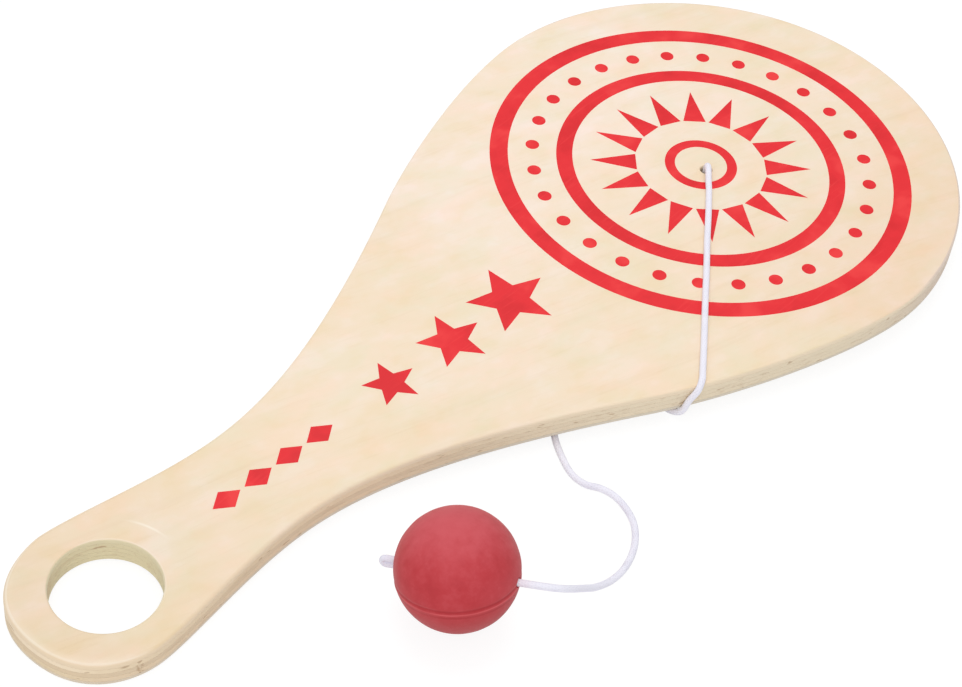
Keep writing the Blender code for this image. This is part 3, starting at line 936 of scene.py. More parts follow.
def add_loop(shape: bmesh.types.BMesh, points: Iterable[Vector | Triple]) -> Loop:
    """Add points to a bmesh and return them as a loop."""
    return [shape.verts.new(point) for point in points]


def add_walls(shape: bmesh.types.BMesh, loops: list[Loop]) -> None:
    """Put a wall of quads between each loop and the next."""
    for first, second in zip(loops, loops[1:]):
        for index in range(len(first)):
            after = (index + 1) % len(first)
            shape.faces.new((first[index], first[after], second[after], second[index]))


def dress(piece: bpy.types.Object, material: bpy.types.Material, body: Body) -> None:
    """Give a finished piece its material and body."""
    piece.data.materials.clear()
    piece.data.materials.append(material)
    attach(piece, body.value)
    LOG.info("%s rides on %s with %d faces", piece.name, body.value, len(piece.data.polygons))


def settle(piece: bpy.types.Object, name: str) -> bpy.types.Object:
    """Turn an object with modifiers into a plain mesh object.

    Args:
        piece: The object, which is removed.
        name: The new object's name.

    Returns:
        The plain object at the origin.
    """
    bpy.context.view_layer.update()
    mesh = bpy.data.meshes.new_from_object(
        piece.evaluated_get(bpy.context.evaluated_depsgraph_get())
    )
    mesh.name = name
    mesh.transform(piece.matrix_world)
    bpy.data.objects.remove(piece)
    return new_object(name, mesh)


@dataclass(frozen=True)
class RoundHole:
    """A drilled hole with eased rims."""

    at: tuple[float, float]
    radius: float
    face_ease: float
    back_ease: float
    steps: int

    def loop(self, shape: bmesh.types.BMesh, inset: float, height: float) -> Loop:
        """Add a loop of points on its wall, which stands back by an inset at a height."""
        wide = self.radius + inset
        return add_loop(shape, (
            (self.at[0] + wide * math.cos(turn), self.at[1] + wide * math.sin(turn), height)
            for turn in turns_of(self.steps, -math.tau)
        ))


@dataclass
class Plywood:
    """The five-ply board."""

    face_veneer: float = 1.2 * MM
    cross_ply: float = 1.25 * MM
    core_ply: float = 1.26 * MM
    back_veneer: float = 1.2 * MM
    glue_line: float = 0.05 * MM

    # The rounded rims, sanded most at the handle, and how they waver
    grip_ease: float = 1.0 * MM
    blade_ease: float = 0.65 * MM
    back_ease: float = 0.6 * MM
    ease_change: Span = (20.0 * MM, 120.0 * MM)
    rim_wander: float = 0.10
    rim_wander_scale: float = 90.0

    # The outline's own lean to the sides
    grip_lean: float = 0.12 * MM
    blade_lean: float = -0.3 * MM
    lean_change: Span = (70.0 * MM, 160.0 * MM)

    # The outline: widths and places, and how far each corner's handles reach
    tip_at: float = 256.93 * MM
    tip_slant: float = math.radians(-0.9)
    blade_width: float = 127.0 * MM
    widest_at: float = 193.1 * MM
    shoulder_width: float = 84.0 * MM
    shoulder_at: float = 122.3 * MM
    shoulder_slope: float = math.radians(27.8)
    neck_width: float = 28.8 * MM
    neck_at: float = 40.9 * MM
    handle_width: float = 37.8 * MM
    handle_widest_at: float = -1.35 * MM
    handle_end_at: float = -19.73 * MM
    handle_end_slant: float = math.radians(1.2)
    far_tip_reach: float = 35.5 * MM
    near_tip_reach: float = 36.6 * MM
    far_widest_reach: float = 33.8 * MM
    near_widest_reach: float = 32.5 * MM
    blade_side_reach: float = 20.2 * MM
    shoulder_reach_up: float = 18.4 * MM
    shoulder_reach_down: float = 51.2 * MM
    neck_reach_up: float = 14.7 * MM
    neck_reach_down: float = 15.7 * MM
    handle_side_reach: float = 8.6 * MM
    far_corner_reach: float = 1.7 * MM
    near_corner_reach: float = 7.4 * MM
    far_end_reach: float = 17.3 * MM
    near_end_reach: float = 14.4 * MM

    handle_hole: RoundHole = RoundHole(HANDLE_HOLE_AT[:2], 11.7 * MM, 0.5 * MM, 0.15 * MM, 120)
    cord_hole: RoundHole = RoundHole((190.6 * MM, -2.05 * MM), 1.5 * MM, 0.35 * MM, 0.35 * MM, 40)
    outline_steps: int = 44
    ease_steps: int = 7
    least_gap: float = 0.001 * MM
    flat_normal: float = 0.999
    outline: list[tuple[Vector, Vector]] = field(default_factory=list)

    @property
    def thickness(self) -> float:
        """The board's thickness."""
        plies = self.face_veneer + 2 * self.cross_ply + self.core_ply + self.back_veneer
        return plies + 4 * self.glue_line

    def corners(self) -> list[tuple[Vector, Vector, Vector]]:
        """The outline's corners, anticlockwise from the tip: point, handle before, handle after."""
        along = Vector((1, 0))
        mirror = Vector((1, -1))
        slope = Vector((math.cos(self.shoulder_slope), math.sin(self.shoulder_slope)))
        tip_line, end_line = (
            Vector((-math.sin(slant), math.cos(slant))) for slant in (self.tip_slant, self.handle_end_slant)
        )
        tip = Vector((self.tip_at, 0))
        widest = Vector((self.widest_at, self.blade_width / 2))
        shoulder = Vector((self.shoulder_at, self.shoulder_width / 2))
        neck = Vector((self.neck_at, self.neck_width / 2))
        grip = Vector((self.handle_widest_at, self.handle_width / 2))
        end = Vector((self.handle_end_at, 0))
        near_widest = widest * mirror
        near_grip = grip * mirror
        down = along * self.blade_side_reach
        up = along * self.handle_side_reach
        side = [
            (
                shoulder,
                shoulder + slope * self.shoulder_reach_up,
                shoulder - slope * self.shoulder_reach_down,
            ),
            (neck, neck + along * self.neck_reach_up, neck - along * self.neck_reach_down),
        ]
        other_side = [
            (point * mirror, after * mirror, before * mirror) for point, before, after in side
        ]
        return [
            (tip, tip - tip_line * self.near_tip_reach, tip + tip_line * self.far_tip_reach),
            (widest, widest + along * self.far_widest_reach, widest - down),
            *side,
            (grip, grip + up, grip - along * self.far_corner_reach),
            (end, end + end_line * self.far_end_reach, end - end_line * self.near_end_reach),
            (near_grip, near_grip - along * self.near_corner_reach, near_grip + up),
            *other_side[::-1],
            (near_widest, near_widest - down, near_widest + along * self.near_widest_reach),
        ]

    def trace(self) -> None:
        """Fill the outline with points and their outward normals."""
        corners = self.corners()
        for start, end in zip(corners, corners[1:] + corners[:1]):
            a, b, c, d = start[0], start[2], end[1], end[0]
            for step in range(self.outline_steps):
                t = step / self.outline_steps
                s = 1 - t
                point = a * s**3 + b * (3 * s * s * t) + c * (3 * s * t * t) + d * t**3
                slope = (b - a) * (s * s) + (c - b) * (2 * s * t) + (d - c) * (t * t)
                slope.normalize()
                bent = self.share(point.x, self.lean_change)
                point.y += self.grip_lean + (self.blade_lean - self.grip_lean) * bent
                self.outline.append((point, Vector((slope.y, -slope.x))))

    @staticmethod
    def share(x: float, change: Span) -> float:
        """How far a place is through a change along the board, from 0 to 1 with smooth ends."""
        start, end = change
        straight = min(max((x - start) / (end - start), 0.0), 1.0)
        return straight * straight * (3 - 2 * straight)

    def face_ease(self, x: float) -> float:
        """The rounding of the printed face's rim at a place along the board."""
        return self.grip_ease + (self.blade_ease - self.grip_ease) * self.share(x, self.ease_change)

    def inset(self, height: float, face_ease: float, back_ease: float) -> float:
        """How far a rounded rim stands back at a height above the back face."""
        depth, ease = height, back_ease
        if height > self.thickness / 2:
            depth, ease = self.thickness - height, face_ease
        if depth >= ease:
            return 0.0
        return ease - math.sqrt(max(ease**2 - (ease - depth) ** 2, 0))

    def levels(
        self, low: float, high: float, face_eases: tuple[float, ...], back_ease: float
    ) -> list[float]:
        """Heights between two faces of a ply at which its wall has a loop of points."""
        turns = [QUARTER_TURN * step / self.ease_steps for step in range(self.ease_steps + 1)]
        wanted = [back_ease * (1 - math.cos(turn)) for turn in turns]
        for ease in face_eases:
            wanted += [self.thickness - ease * (1 - math.cos(turn)) for turn in turns]
        inside = [height for height in wanted if low + self.least_gap < height < high - self.least_gap]
        return [low, *sorted(set(inside)), high]

    def outer_loop(self, shape: bmesh.types.BMesh, height: float) -> Loop:
        """Add a loop of points on the outer wall."""
        points = []
        for point, outward in self.outline:
            waver = noise.noise(Vector((point.x, point.y, 0)) * self.rim_wander_scale) * self.rim_wander
            back = self.inset(height, self.face_ease(point.x), self.back_ease) * (1 + waver)
            place = point - outward * back
            points.append((place.x, place.y, height))
        return add_loop(shape, points)

    @staticmethod
    def cap(shape: bmesh.types.BMesh, loops: list[Loop], up: float) -> None:
        """Fill the flat between an outer loop and the holes in it."""
        edges = [
            shape.edges.get((first, second))
            for loop in loops
            for first, second in zip(loop, loop[1:] + loop[:1])
        ]
        made = bmesh.ops.triangle_fill(shape, edges=edges, use_beauty=True, normal=(0, 0, up))
        for item in made["geom"]:
            if isinstance(item, bmesh.types.BMFace):
                item.normal_update()
                if item.normal.z * up < 0:
                    item.normal_flip()

    def ply(self, name: str, low: float, high: float) -> bpy.types.Object:
        """One ply between two heights.

        Args:
            name: The piece's name.
            low: Height of its lower face.
            high: Height of its upper face.

        Returns:
            The piece, closed and in place.
        """
        shape = bmesh.new()
        heights = self.levels(low, high, (self.grip_ease, self.blade_ease), self.back_ease)
        walls = [[self.outer_loop(shape, height) for height in heights]]
        for hole in (self.handle_hole, self.cord_hole):
            walls.append([
                hole.loop(shape, self.inset(height, hole.face_ease, hole.back_ease), height)
                for height in self.levels(low, high, (hole.face_ease,), hole.back_ease)
            ])
        for loops in walls:
            add_walls(shape, loops)
        self.cap(shape, [loops[0] for loops in walls], -1.0)
        self.cap(shape, [loops[-1] for loops in walls], 1.0)
        mesh = mesh_from(shape, name)
        for face in mesh.polygons:
            if abs(face.normal.z) > self.flat_normal:
                face.use_smooth = False
        mesh.transform(BOARD)
        for vert in mesh.vertices:
            vert.co.z = max(vert.co.z, 0.0)
        return new_object(name, mesh)

    @staticmethod
    def finishes() -> tuple[FaceWood | CutPly, ...]:
        """The plies' finishes: back veneer, lower cross ply, core, upper cross ply and face veneer."""
        tip = paint(226, 208, 195)
        hole = paint(233, 222, 188)
        walls = {
            "pit": paint(194, 166, 134),
            "grey": paint(239, 225, 199),
            "tip": tip,
            "hole": hole,
            "hole_shaded_side": paint(216, 196, 163),
        }
        back = FaceWood(
            "back_wood",
            wear_and_highlight=paint(244, 228, 206),
            middle=paint(240, 220, 192),
            yellow=paint(236, 214, 180),
            lavender=paint(240, 221, 197),
            pink=paint(242, 218, 191),
            green=paint(236, 220, 191),
            streak=paint(218, 192, 158),
            # The back veneer's cut edge, greyer, partly a painted contact shadow along the board's bottom
            # edge
            rim=paint(224, 214, 196),
            hole=hole,
            grip=paint(232, 214, 190),
            pale=paint(242, 224, 200),
            tan=paint(234, 208, 178),
            tip=tip,
            roughness=0.6,
        )
        lower = CutPly(
            "lower_cross_wood", paint(234, 214, 181), paint(236, 214, 184), False, 0.65, **walls
        )
        core = CutPly("core_wood", paint(229, 208, 179), paint(227, 205, 174), True, 0.68, **walls)
        upper = CutPly(
            "upper_cross_wood", paint(248, 229, 201), paint(239, 219, 188), False, 0.64, **walls
        )
        face = FaceWood(
            "face_wood",
            wear_and_highlight=paint(253, 241, 223),
            middle=paint(246, 226, 199),
            yellow=paint(244, 223, 191),
            lavender=paint(248, 229, 207),
            pink=paint(249, 225, 199),
            green=paint(243, 227, 199),
            streak=paint(235, 211, 178),
            rim=paint(241, 223, 195),
            hole=hole,
            grip=paint(235, 211, 179),
            pale=paint(250, 231, 210),
            tan=paint(243, 214, 184),
            tip=tip,
            dent=PressedArc(),
        )
        return back, lower, core, upper, face

    def build_plies(self, effects: SharedEffects) -> None:
        """Build, finish and place the five plies."""
        stack = (
            ("back_skin", "back_veneer", self.back_veneer, Slot.BACK_WOOD),
            ("lower_cross_layer", "cross_ply_lower", self.cross_ply, Slot.CROSS_PLY_WOOD),
            ("core_layer", "core_ply", self.core_ply, Slot.CORE_WOOD),
            ("upper_cross_layer", "cross_ply_upper", self.cross_ply, Slot.CROSS_PLY_WOOD),
            ("face_skin", "face_veneer", self.face_veneer, Slot.FACE_WOOD),
        )
        low = 0.0
        for (name, node, depth, slot), finish in zip(stack, self.finishes()):
            piece = self.ply(name, low, low + depth)
            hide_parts(node)
            dress(piece, finish.build(effects), Body.PADDLE)
            low += depth + self.glue_line


@dataclass(frozen=True)
class Repeat:
    """A motif of the print and how it repeats: in a ring of a radius, or in a row of a step."""

    name: str
    motif: Motif
    layout: Layout
    at: float
    count: int
    pitch: float
    size: tuple[float, float]
    shrink: float = 1.0


@dataclass
class FacePrint:
    """The red print: a sunburst target on the blade, stars on the shoulder and lozenges on the neck."""

    board: Plywood
    target_at: float = 191.0 * MM
    bands: tuple[Span, ...] = (
        (6.5 * MM, 9.0 * MM),
        (32.0 * MM, 36.0 * MM),
        (48.0 * MM, 52.5 * MM),
    )
    band_steps: int = 180
    repeats: tuple[Repeat, ...] = (
        Repeat("print_rays", Motif.RAY, Layout.RING, target_at, 16, 20.0 * MM, (7.6 * MM, 3.3 * MM)),
        Repeat("print_dots", Motif.DISC, Layout.RING, target_at, 28, 42.0 * MM, (1.7 * MM, 1.7 * MM)),
        Repeat(
            "print_stars", Motif.STAR, Layout.ROW, 121.0 * MM, 3, -19.5 * MM, (10.5 * MM, 10.5 * MM), 0.80
        ),
        Repeat(
            "print_lozenges", Motif.LOZENGE, Layout.ROW, 60.0 * MM, 4, -9.0 * MM, (3.9 * MM, 2.7 * MM)
        ),
    )
    star_waist: float = 0.44
    ink_thickness: float = 0.02 * MM
    ink_sunk: float = 0.008 * MM
    merge_reach: float = 0.002 * MM

    def tree(self, motif: Motif, layout: Layout) -> Tree:
        """Geometry nodes that lay thin ink shapes out in a ring or a row.

        Args:
            motif: The shape that repeats.
            layout: How it repeats.

        Returns:
            The node tree.
        """
        tree = bpy.data.node_groups.new(f"print_{motif.name.lower()}_{layout.value}", "GeometryNodeTree")
        tree.interface.new_socket("Geometry", in_out="OUTPUT", socket_type="NodeSocketGeometry")
        for label, kind in (
            ("Count", "Int"),
            ("Pitch", "Float"),
            ("Motif Size", "Vector"),
            ("Shrink", "Float"),
            ("Ink Thickness", "Float"),
            ("Ink", "Material"),
        ):
            tree.interface.new_socket(label, in_out="INPUT", socket_type=f"NodeSocket{kind}")
        graph = Graph(tree)
        source = graph.node("NodeGroupInput").outputs
        result = graph.node("NodeGroupOutput").inputs
        film = self.ink_film(graph, motif, source["Ink Thickness"])
        number = graph.node("GeometryNodeInputIndex").outputs[0]
        shrink = graph.math("POWER", source["Shrink"], number)
        size = graph.node(
            "ShaderNodeVectorMath", {0: source["Motif Size"], "Scale": shrink}, operation="SCALE"
        )
        wide, high, _ = graph.split(size.outputs[0])
        copies = graph.node(
            "GeometryNodeInstanceOnPoints", {"Instance": film, "Scale": graph.join(wide, high, 1.0)}
        )
        if layout is Layout.RING:
            ring = {"Vertices": source["Count"], "Radius": source["Pitch"]}
            points = graph.node("GeometryNodeMeshCircle", ring)
            place = graph.node("GeometryNodeInputPosition").outputs[0]
            turned = graph.node("FunctionNodeAlignRotationToVector", {"Vector": place}, axis="X")
            graph.set(copies, Rotation=turned.outputs[0])
        else:
            row = {"Count": source["Count"], "Offset": graph.join(source["Pitch"], 0.0, 0.0)}
            points = graph.node("GeometryNodeMeshLine", row, mode="OFFSET")
        graph.set(copies, Points=points.outputs[0])
        real = graph.node("GeometryNodeRealizeInstances", {0: copies.outputs[0]})
        inked = {"Geometry": real.outputs[0], "Material": source["Ink"]}
        graph.feed(result[0], graph.node("GeometryNodeSetMaterial", inked).outputs[0])
        return tree

    def ink_film(self, graph: Graph, motif: Motif, thickness: Socket) -> Socket:
        """A closed plate of ink in a motif's shape, one unit in radius."""
        if motif is Motif.STAR:
            star = {"Points": motif.value, "Inner Radius": self.star_waist, "Outer Radius": 1.0}
            drawn = graph.node("GeometryNodeCurveStar", star)
        else:
            disc = {"Resolution": motif.value, "Radius": 1.0}
            drawn = graph.node("GeometryNodeCurvePrimitiveCircle", disc)
        filled = graph.node("GeometryNodeFillCurve", {"Curve": drawn.outputs["Curve"]}, mode="NGONS")
        raised = graph.node(
            "GeometryNodeExtrudeMesh", {"Mesh": filled.outputs[0], "Offset Scale": thickness}
        )
        under = graph.node("GeometryNodeFlipFaces", {0: filled.outputs[0]})
        joined = graph.node("GeometryNodeJoinGeometry", {0: raised.outputs[0]})
        graph.feed(joined.inputs[0], under.outputs[0])
        merged = {"Geometry": joined.outputs[0], "Distance": self.merge_reach}
        return graph.node("GeometryNodeMergeByDistance", merged).outputs[0]

    def repeat(self, plan: Repeat, ink: bpy.types.Material) -> bpy.types.Object:
        """Lay one motif out on the printed face.

        Args:
            plan: The motif and its layout.
            ink: The ink's material.

        Returns:
            The piece.
        """
        holder = new_object(f"{plan.name}_holder", bpy.data.meshes.new(plan.name))
        modifier = holder.modifiers.new("layout", "NODES")
        modifier.node_group = self.tree(plan.motif, plan.layout)
        inputs = {
            "Count": plan.count,
            "Pitch": plan.pitch,
            "Motif Size": (*plan.size, 1.0),
            "Shrink": plan.shrink,
            "Ink Thickness": self.ink_thickness + self.ink_sunk,
            "Ink": ink,
        }
        for socket in modifier.node_group.interface.items_tree:
            if socket.in_out == "INPUT":
                modifier[socket.identifier] = inputs[socket.name]
        place = Matrix.Translation((plan.at, 0, self.board.thickness - self.ink_sunk))
        holder.matrix_world = BOARD @ place
        return settle(holder, plan.name)

    def band(self, name: str, inner: float, outer: float) -> bpy.types.Object:
        """A ring of ink round the target's middle."""
        low = self.board.thickness - self.ink_sunk
        high = self.board.thickness + self.ink_thickness
        shape = bmesh.new()
        loops = [
            add_loop(shape, (
                (self.target_at + radius * math.cos(turn), radius * math.sin(turn), height)
                for turn in turns_of(self.band_steps)
            ))
            for radius, height in ((inner, low), (outer, low), (outer, high), (inner, high))
        ]
        add_walls(shape, loops + loops[:1])
        bmesh.ops.recalc_face_normals(shape, faces=shape.faces)
        mesh = mesh_from(shape, name)
        mesh.transform(BOARD)
        return new_object(name, mesh)

    def build(self, effects: SharedEffects) -> None:
        """Build and place the whole print."""
        ink = PrintInk(
            "red_ink", full=paint(235, 35, 44), thin=paint(244, 58, 60), thick=paint(224, 26, 36)
        ).build(effects)
        pieces = [self.repeat(plan, ink) for plan in self.repeats]
        for number, (inner, outer) in enumerate(self.bands, start=1):
            pieces.append(self.band(f"print_band_{number}", inner, outer))
        for piece in pieces:
            dress(piece, ink, Body.PADDLE)


@dataclass
class RubberBall:
    """The moulded ball with its parting line and bore."""

    radius: float = 13.05 * MM
    bore_radius: float = 1.08 * MM
    bore_below_centre: float = 0.85 * MM
    bore_lip: float = 0.35 * MM
    bore_lip_out: float = 0.1 * MM
    bore_steps: int = 48
    lip_steps: int = 6
    cutter_overshoot: float = 2.0 * MM
    groove_depth: float = 0.16 * MM
    groove_width: float = 0.9 * MM
    flash_height: float = 0.08 * MM
    wear_mean: float = 0.75
    wear_swing: float = 0.5
    wear_scale: float = 2.2
    lumps: float = 0.035 * MM
    lump_scale: float = 5.0
    roll: float = math.radians(-10.4)
    steps: int = 160
    rings: int = 110
    fine_rings: int = 12
    fine_reach: float = 1.4
    fine_margin: float = 0.05
    sharp_from_deg: float = 60.0

    def matrix(self) -> Matrix:
        """The ball's frame: origin on the bore, X out of the mouth that the elastic enters."""
        spin = joint_named("ball_spin")
        axis = Vector(spin["axis"])
        turn = Euler((self.roll, -math.asin(axis.z), math.atan2(axis.y, axis.x)))
        return Matrix.Translation(spin["pos_m"]) @ turn.to_matrix().to_4x4()

    def mouth(self) -> float:
        """Distance along the bore from its middle to where it leaves the ball."""
        return math.sqrt(self.radius**2 - self.bore_below_centre**2)

    def latitudes(self, parting: float, band: float) -> list[float]:
        """The rings' latitudes from top to bottom, set close together at the parting line."""
        reach = self.fine_reach * band
        plain = [QUARTER_TURN - math.pi * ring / self.rings for ring in range(1, self.rings)]
        far = [at for at in plain if abs(at - parting) > reach + self.fine_margin * band]
        fine = [parting + reach * (ring / self.fine_rings - 1) for ring in range(2 * self.fine_rings + 1)]
        return sorted(far + fine, reverse=True)

    def surface(self, facing: Vector, place: float) -> Vector:
        """A point of the skin.

        Args:
            facing: The direction from the centre.
            place: How far it is past the parting line, in widths of its groove.

        Returns:
            The point, with the groove, the flash below it and slight lumps.
        """
        wear = self.wear_mean + self.wear_swing * noise.noise(facing * self.wear_scale)
        groove = self.groove_depth * math.exp(-((2 * place) ** 2)) * wear
        flash = self.flash_height * math.exp(-((2 * place + 2) ** 2)) * wear
        lump = self.lumps * noise.noise(facing * self.lump_scale)
        return facing * (self.radius - groove + flash + lump)

    def shell(self) -> bpy.types.Mesh:
        """The turned ball with its parting line, before the bore is cut."""
        parting = math.asin(-self.bore_below_centre / self.radius)
        band = self.groove_width / self.radius
        shape = bmesh.new()
        loops = []
        for latitude in self.latitudes(parting, band):
            wide, high = math.cos(latitude), math.sin(latitude)
            loops.append(add_loop(shape, (
                self.surface(
                    Vector((wide * math.cos(turn), wide * math.sin(turn), high)), (latitude - parting) / band
                )
                for turn in turns_of(self.steps)
            )))
        add_walls(shape, loops)
        for height, loop in ((self.radius, loops[0]), (-self.radius, loops[-1])):
            pole = shape.verts.new((0, 0, height))
            for first, second in zip(loop, loop[1:] + loop[:1]):
                shape.faces.new((pole, first, second))
        bmesh.ops.translate(shape, verts=shape.verts, vec=(0, 0, self.bore_below_centre))
        bmesh.ops.recalc_face_normals(shape, faces=shape.faces)
        return mesh_from(shape, "ball_shell", self.sharp_from_deg)

    def bore(self) -> bpy.types.Mesh:
        """The cutter for the bore, flared where it breaks the surface."""
        reach = self.mouth()
        half = [(reach + self.cutter_overshoot, self.bore_radius + self.bore_lip + self.cutter_overshoot)]
        for step in range(self.lip_steps + 1):
            turn = QUARTER_TURN * step / self.lip_steps
            wide = self.bore_radius + self.bore_lip * (1 - math.sin(turn))
            half.append((reach + self.bore_lip_out - self.bore_lip * (1 - math.cos(turn)), wide))
        shape = bmesh.new()
        loops = [
            add_loop(shape, (
                (along, wide * math.cos(turn), wide * math.sin(turn)) for turn in turns_of(self.bore_steps)
            ))
            for along, wide in half + [(-along, wide) for along, wide in reversed(half)]
        ]
        add_walls(shape, loops)
        shape.faces.new(loops[0])
        shape.faces.new(loops[-1])
        bmesh.ops.recalc_face_normals(shape, faces=shape.faces)
        return mesh_from(shape, "ball_bore_cutter")

    def build(self, effects: SharedEffects) -> None:
        """Build, finish and place the ball."""
        place = self.matrix()
        shell = new_object("ball_blank", self.shell())
        cutter = new_object("ball_bore_cutter", self.bore())
        cut = shell.modifiers.new("bore", "BOOLEAN")
        cut.operation = "DIFFERENCE"
        cut.object = cutter
        ball = settle(shell, "rubber_ball")
        bpy.data.objects.remove(cutter)
        ball.data.shade_smooth()
        ball.data.set_sharp_from_angle(angle=math.radians(self.sharp_from_deg))
        ball.data.transform(place)
        rubber = BallRubber(
            "ball_rubber",
            body=paint(193, 58, 65),
            bloom=paint(214, 94, 102),
            deep=paint(168, 36, 44),
            ridge_highlight=paint(216, 92, 97),
            shade=paint(170, 60, 62),
        )
        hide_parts("ball")
        dress(ball, rubber.build(effects, place), Body.BALL)


@dataclass
class ElasticCord:
    """The one length of elastic, from the knot behind the blade to the knot past the ball."""

    board: Plywood
    ball: RubberBall
    radius: float = 0.78 * MM
    clearance: float = 0.3 * MM
    snug: float = 0.18 * MM
    hole_lean: float = 0.4 * MM
    hole_bend: float = 2.8 * MM
    hole_bend_rise: float = 1.3 * MM
    hole_bend_turn: float = math.radians(105)
    hole_bend_steps: int = 4
    hole_run_out: float = 5.9 * MM
    ground_lift: float = 0.02 * MM
    ball_run_proud: float = 1.0 * MM
    ball_lead_in: float = 1.6 * MM
    back_knot_radius: float = 2.4 * MM
    back_knot_length: float = 3.3 * MM
    back_knot_strand: float = 0.72 * MM
    back_knot_steps: int = 150
    end_knot_radius: float = 1.43 * MM
    end_knot_length: float = 3.7 * MM
    end_knot_strand: float = 0.74 * MM
    end_knot_steps: int = 12
    end_knot_tuck: float = 0.4 * MM
    end_knot_mouth_share: float = 0.7
    end_knot_wide_at: float = 0.35
    end_knot_ring_step: float = 0.2 * MM
    span_steps: int = 24
    ring_step: float = 0.45 * MM
    sides: int = 20

    # Across the printed face: X, Y in the board's frame
    face_route_mm: tuple[tuple[float, float], ...] = (
        (184.0, -8.1),
        (181.2, -10.3),
        (177.5, -13.2),
        (170.4, -18.6),
        (162.4, -24.9),
        (153.8, -31.5),
        (145.6, -37.9),
        (139.5, -42.6),
        (136.2, -45.1),
    )

    # Down the edge: X, Y and the depth below the printed face
    edge_upper_mm: tuple[Triple, ...] = (
        (134.2, -46.6, -1.12),
        (132.75, -47.4, -0.68),
        (131.7, -47.72, 0.28),
        (131.0, -47.5, 1.4),
    )

    # The rest of the edge: X, Y and the height above the back face
    edge_lower_mm: tuple[Triple, ...] = (
        (130.2, -47.0, 3.4),
        (129.55, -46.8, 2.1),
        (129.08, -46.62, 0.82),
        (128.68, -46.02, -0.32),
        (128.45, -44.9, -0.98),
    )

    # Under the paddle: X, Y and the height of the cord's underside above the ground
    under_mm: tuple[Triple, ...] = (
        (128.4, -43.4, 0.15),
        (128.5, -41.6, 0.0),
        (128.1, -39.1, 0.0),
        (126.2, -35.9, 0.0),
        (122.4, -32.4, 0.0),
        (117.2, -29.4, 0.0),
        (111.6, -27.5, 0.0),
        (106.6, -27.8, 0.0),
    )

    # Where the elastic comes out from under the paddle
    paddle_exit_mm: Triple = (102.9, -31.1, 0.0)

    # From there to the ball, as under the paddle
    free_mm: tuple[Triple, ...] = (
        (99.5, -36.3, 0.0),
        (97.3, -41.4, 0.0),
        (97.4, -45.2, 0.0),
        (98.9, -48.0, 0.0),
        (99.6, -51.3, 0.0),
        (98.9, -55.3, 0.0),
        (97.2, -59.0, 0.0),
        (94.4, -62.1, 0.0),
        (90.6, -64.6, 0.05),
        (85.6, -66.4, 0.35),
        (80.4, -67.1, 1.4),
        (74.2, -67.4, 4.7),
        (69.1, -67.5, 8.8),
        (65.0, -67.4, 12.1),
        (61.6, -66.3, 14.2),
    )

    def hole_line(self) -> tuple[Vector, Vector]:
        """The cord's place in its hole and its heading across the face, in the board's frame."""
        hole = Vector(self.board.cord_hole.at)
        heading = (Vector(self.face_route_mm[0]) * MM - hole).normalized()
        return hole - heading * self.hole_lean, heading

    def lying(self, x: float, y: float, height: float) -> Vector:
        """The centre of the cord where its underside is at a height in millimetres."""
        return on_ground(x * MM, y * MM, self.radius + self.ground_lift + height * MM)

    def route(self) -> list[Vector]:
        """The route's own points, from the back of the board to the far side of the ball."""
        foot, heading = self.hole_line()
        top = self.board.thickness
        face = top + self.clearance + self.radius
        centre = face + self.hole_bend_rise - self.hole_bend
        in_knot = -self.clearance - self.radius
        points = [on_board(foot.x, foot.y, in_knot), on_board(foot.x, foot.y, centre / 2)]
        for step in range(self.hole_bend_steps + 1):
            turn = self.hole_bend_turn * step / self.hole_bend_steps
            place = foot + heading * self.hole_bend * (1 - math.cos(turn))
            points.append(on_board(place.x, place.y, centre + self.hole_bend * math.sin(turn)))
        run_out = foot + heading * self.hole_run_out
        points.append(on_board(run_out.x, run_out.y, face + self.hole_bend_rise / 4))
        points += [on_board(x * MM, y * MM, face - self.snug) for x, y in self.face_route_mm]
        points += [on_board(x * MM, y * MM, top - depth * MM) for x, y, depth in self.edge_upper_mm]
        points += [on_board(x * MM, y * MM, height * MM) for x, y, height in self.edge_lower_mm]
        points += [self.lying(*point) for point in (*self.under_mm, self.paddle_exit_mm, *self.free_mm)]
        ball = self.ball.matrix()
        mouth = self.ball.mouth()
        outside = mouth + self.ball_run_proud + self.clearance
        stations = (
            outside + self.ball_lead_in,
            outside,
            mouth * 0.5,
            0.0,
            -mouth * 0.5,
            -mouth - self.clearance,
        )
        return points + [ball @ Vector((at, 0, 0)) for at in stations]

    def smooth(self, points: list[Vector]) -> list[Vector]:
        """A centripetal Catmull-Rom curve through points.

        Args:
            points: The points it passes through.

        Returns:
            Points span_steps to a span.
        """
        ends = [2 * points[0] - points[1], *points, 2 * points[-1] - points[-2]]
        curve = []
        for span in zip(ends, ends[1:], ends[2:], ends[3:]):
            knots = [0.0]
            for first, second in zip(span, span[1:]):
                knots.append(knots[-1] + math.sqrt((second - first).length))
            for step in range(self.span_steps):
                at = knots[1] + (knots[2] - knots[1]) * step / self.span_steps
                level = list(span)
                for order in (1, 2):
                    level = [
                        self.between(level[i], level[i + 1], knots[i], knots[i + order], at)
                        for i in range(len(level) - 1)
                    ]
                curve.append(self.between(level[0], level[1], knots[1], knots[2], at))
        curve.append(points[-1])
        return curve

    @staticmethod
    def between(first: Vector, second: Vector, first_at: float, second_at: float, at: float) -> Vector:
        """The point at a parameter on the line through two points at their own parameters."""
        return first.lerp(second, (at - first_at) / (second_at - first_at))

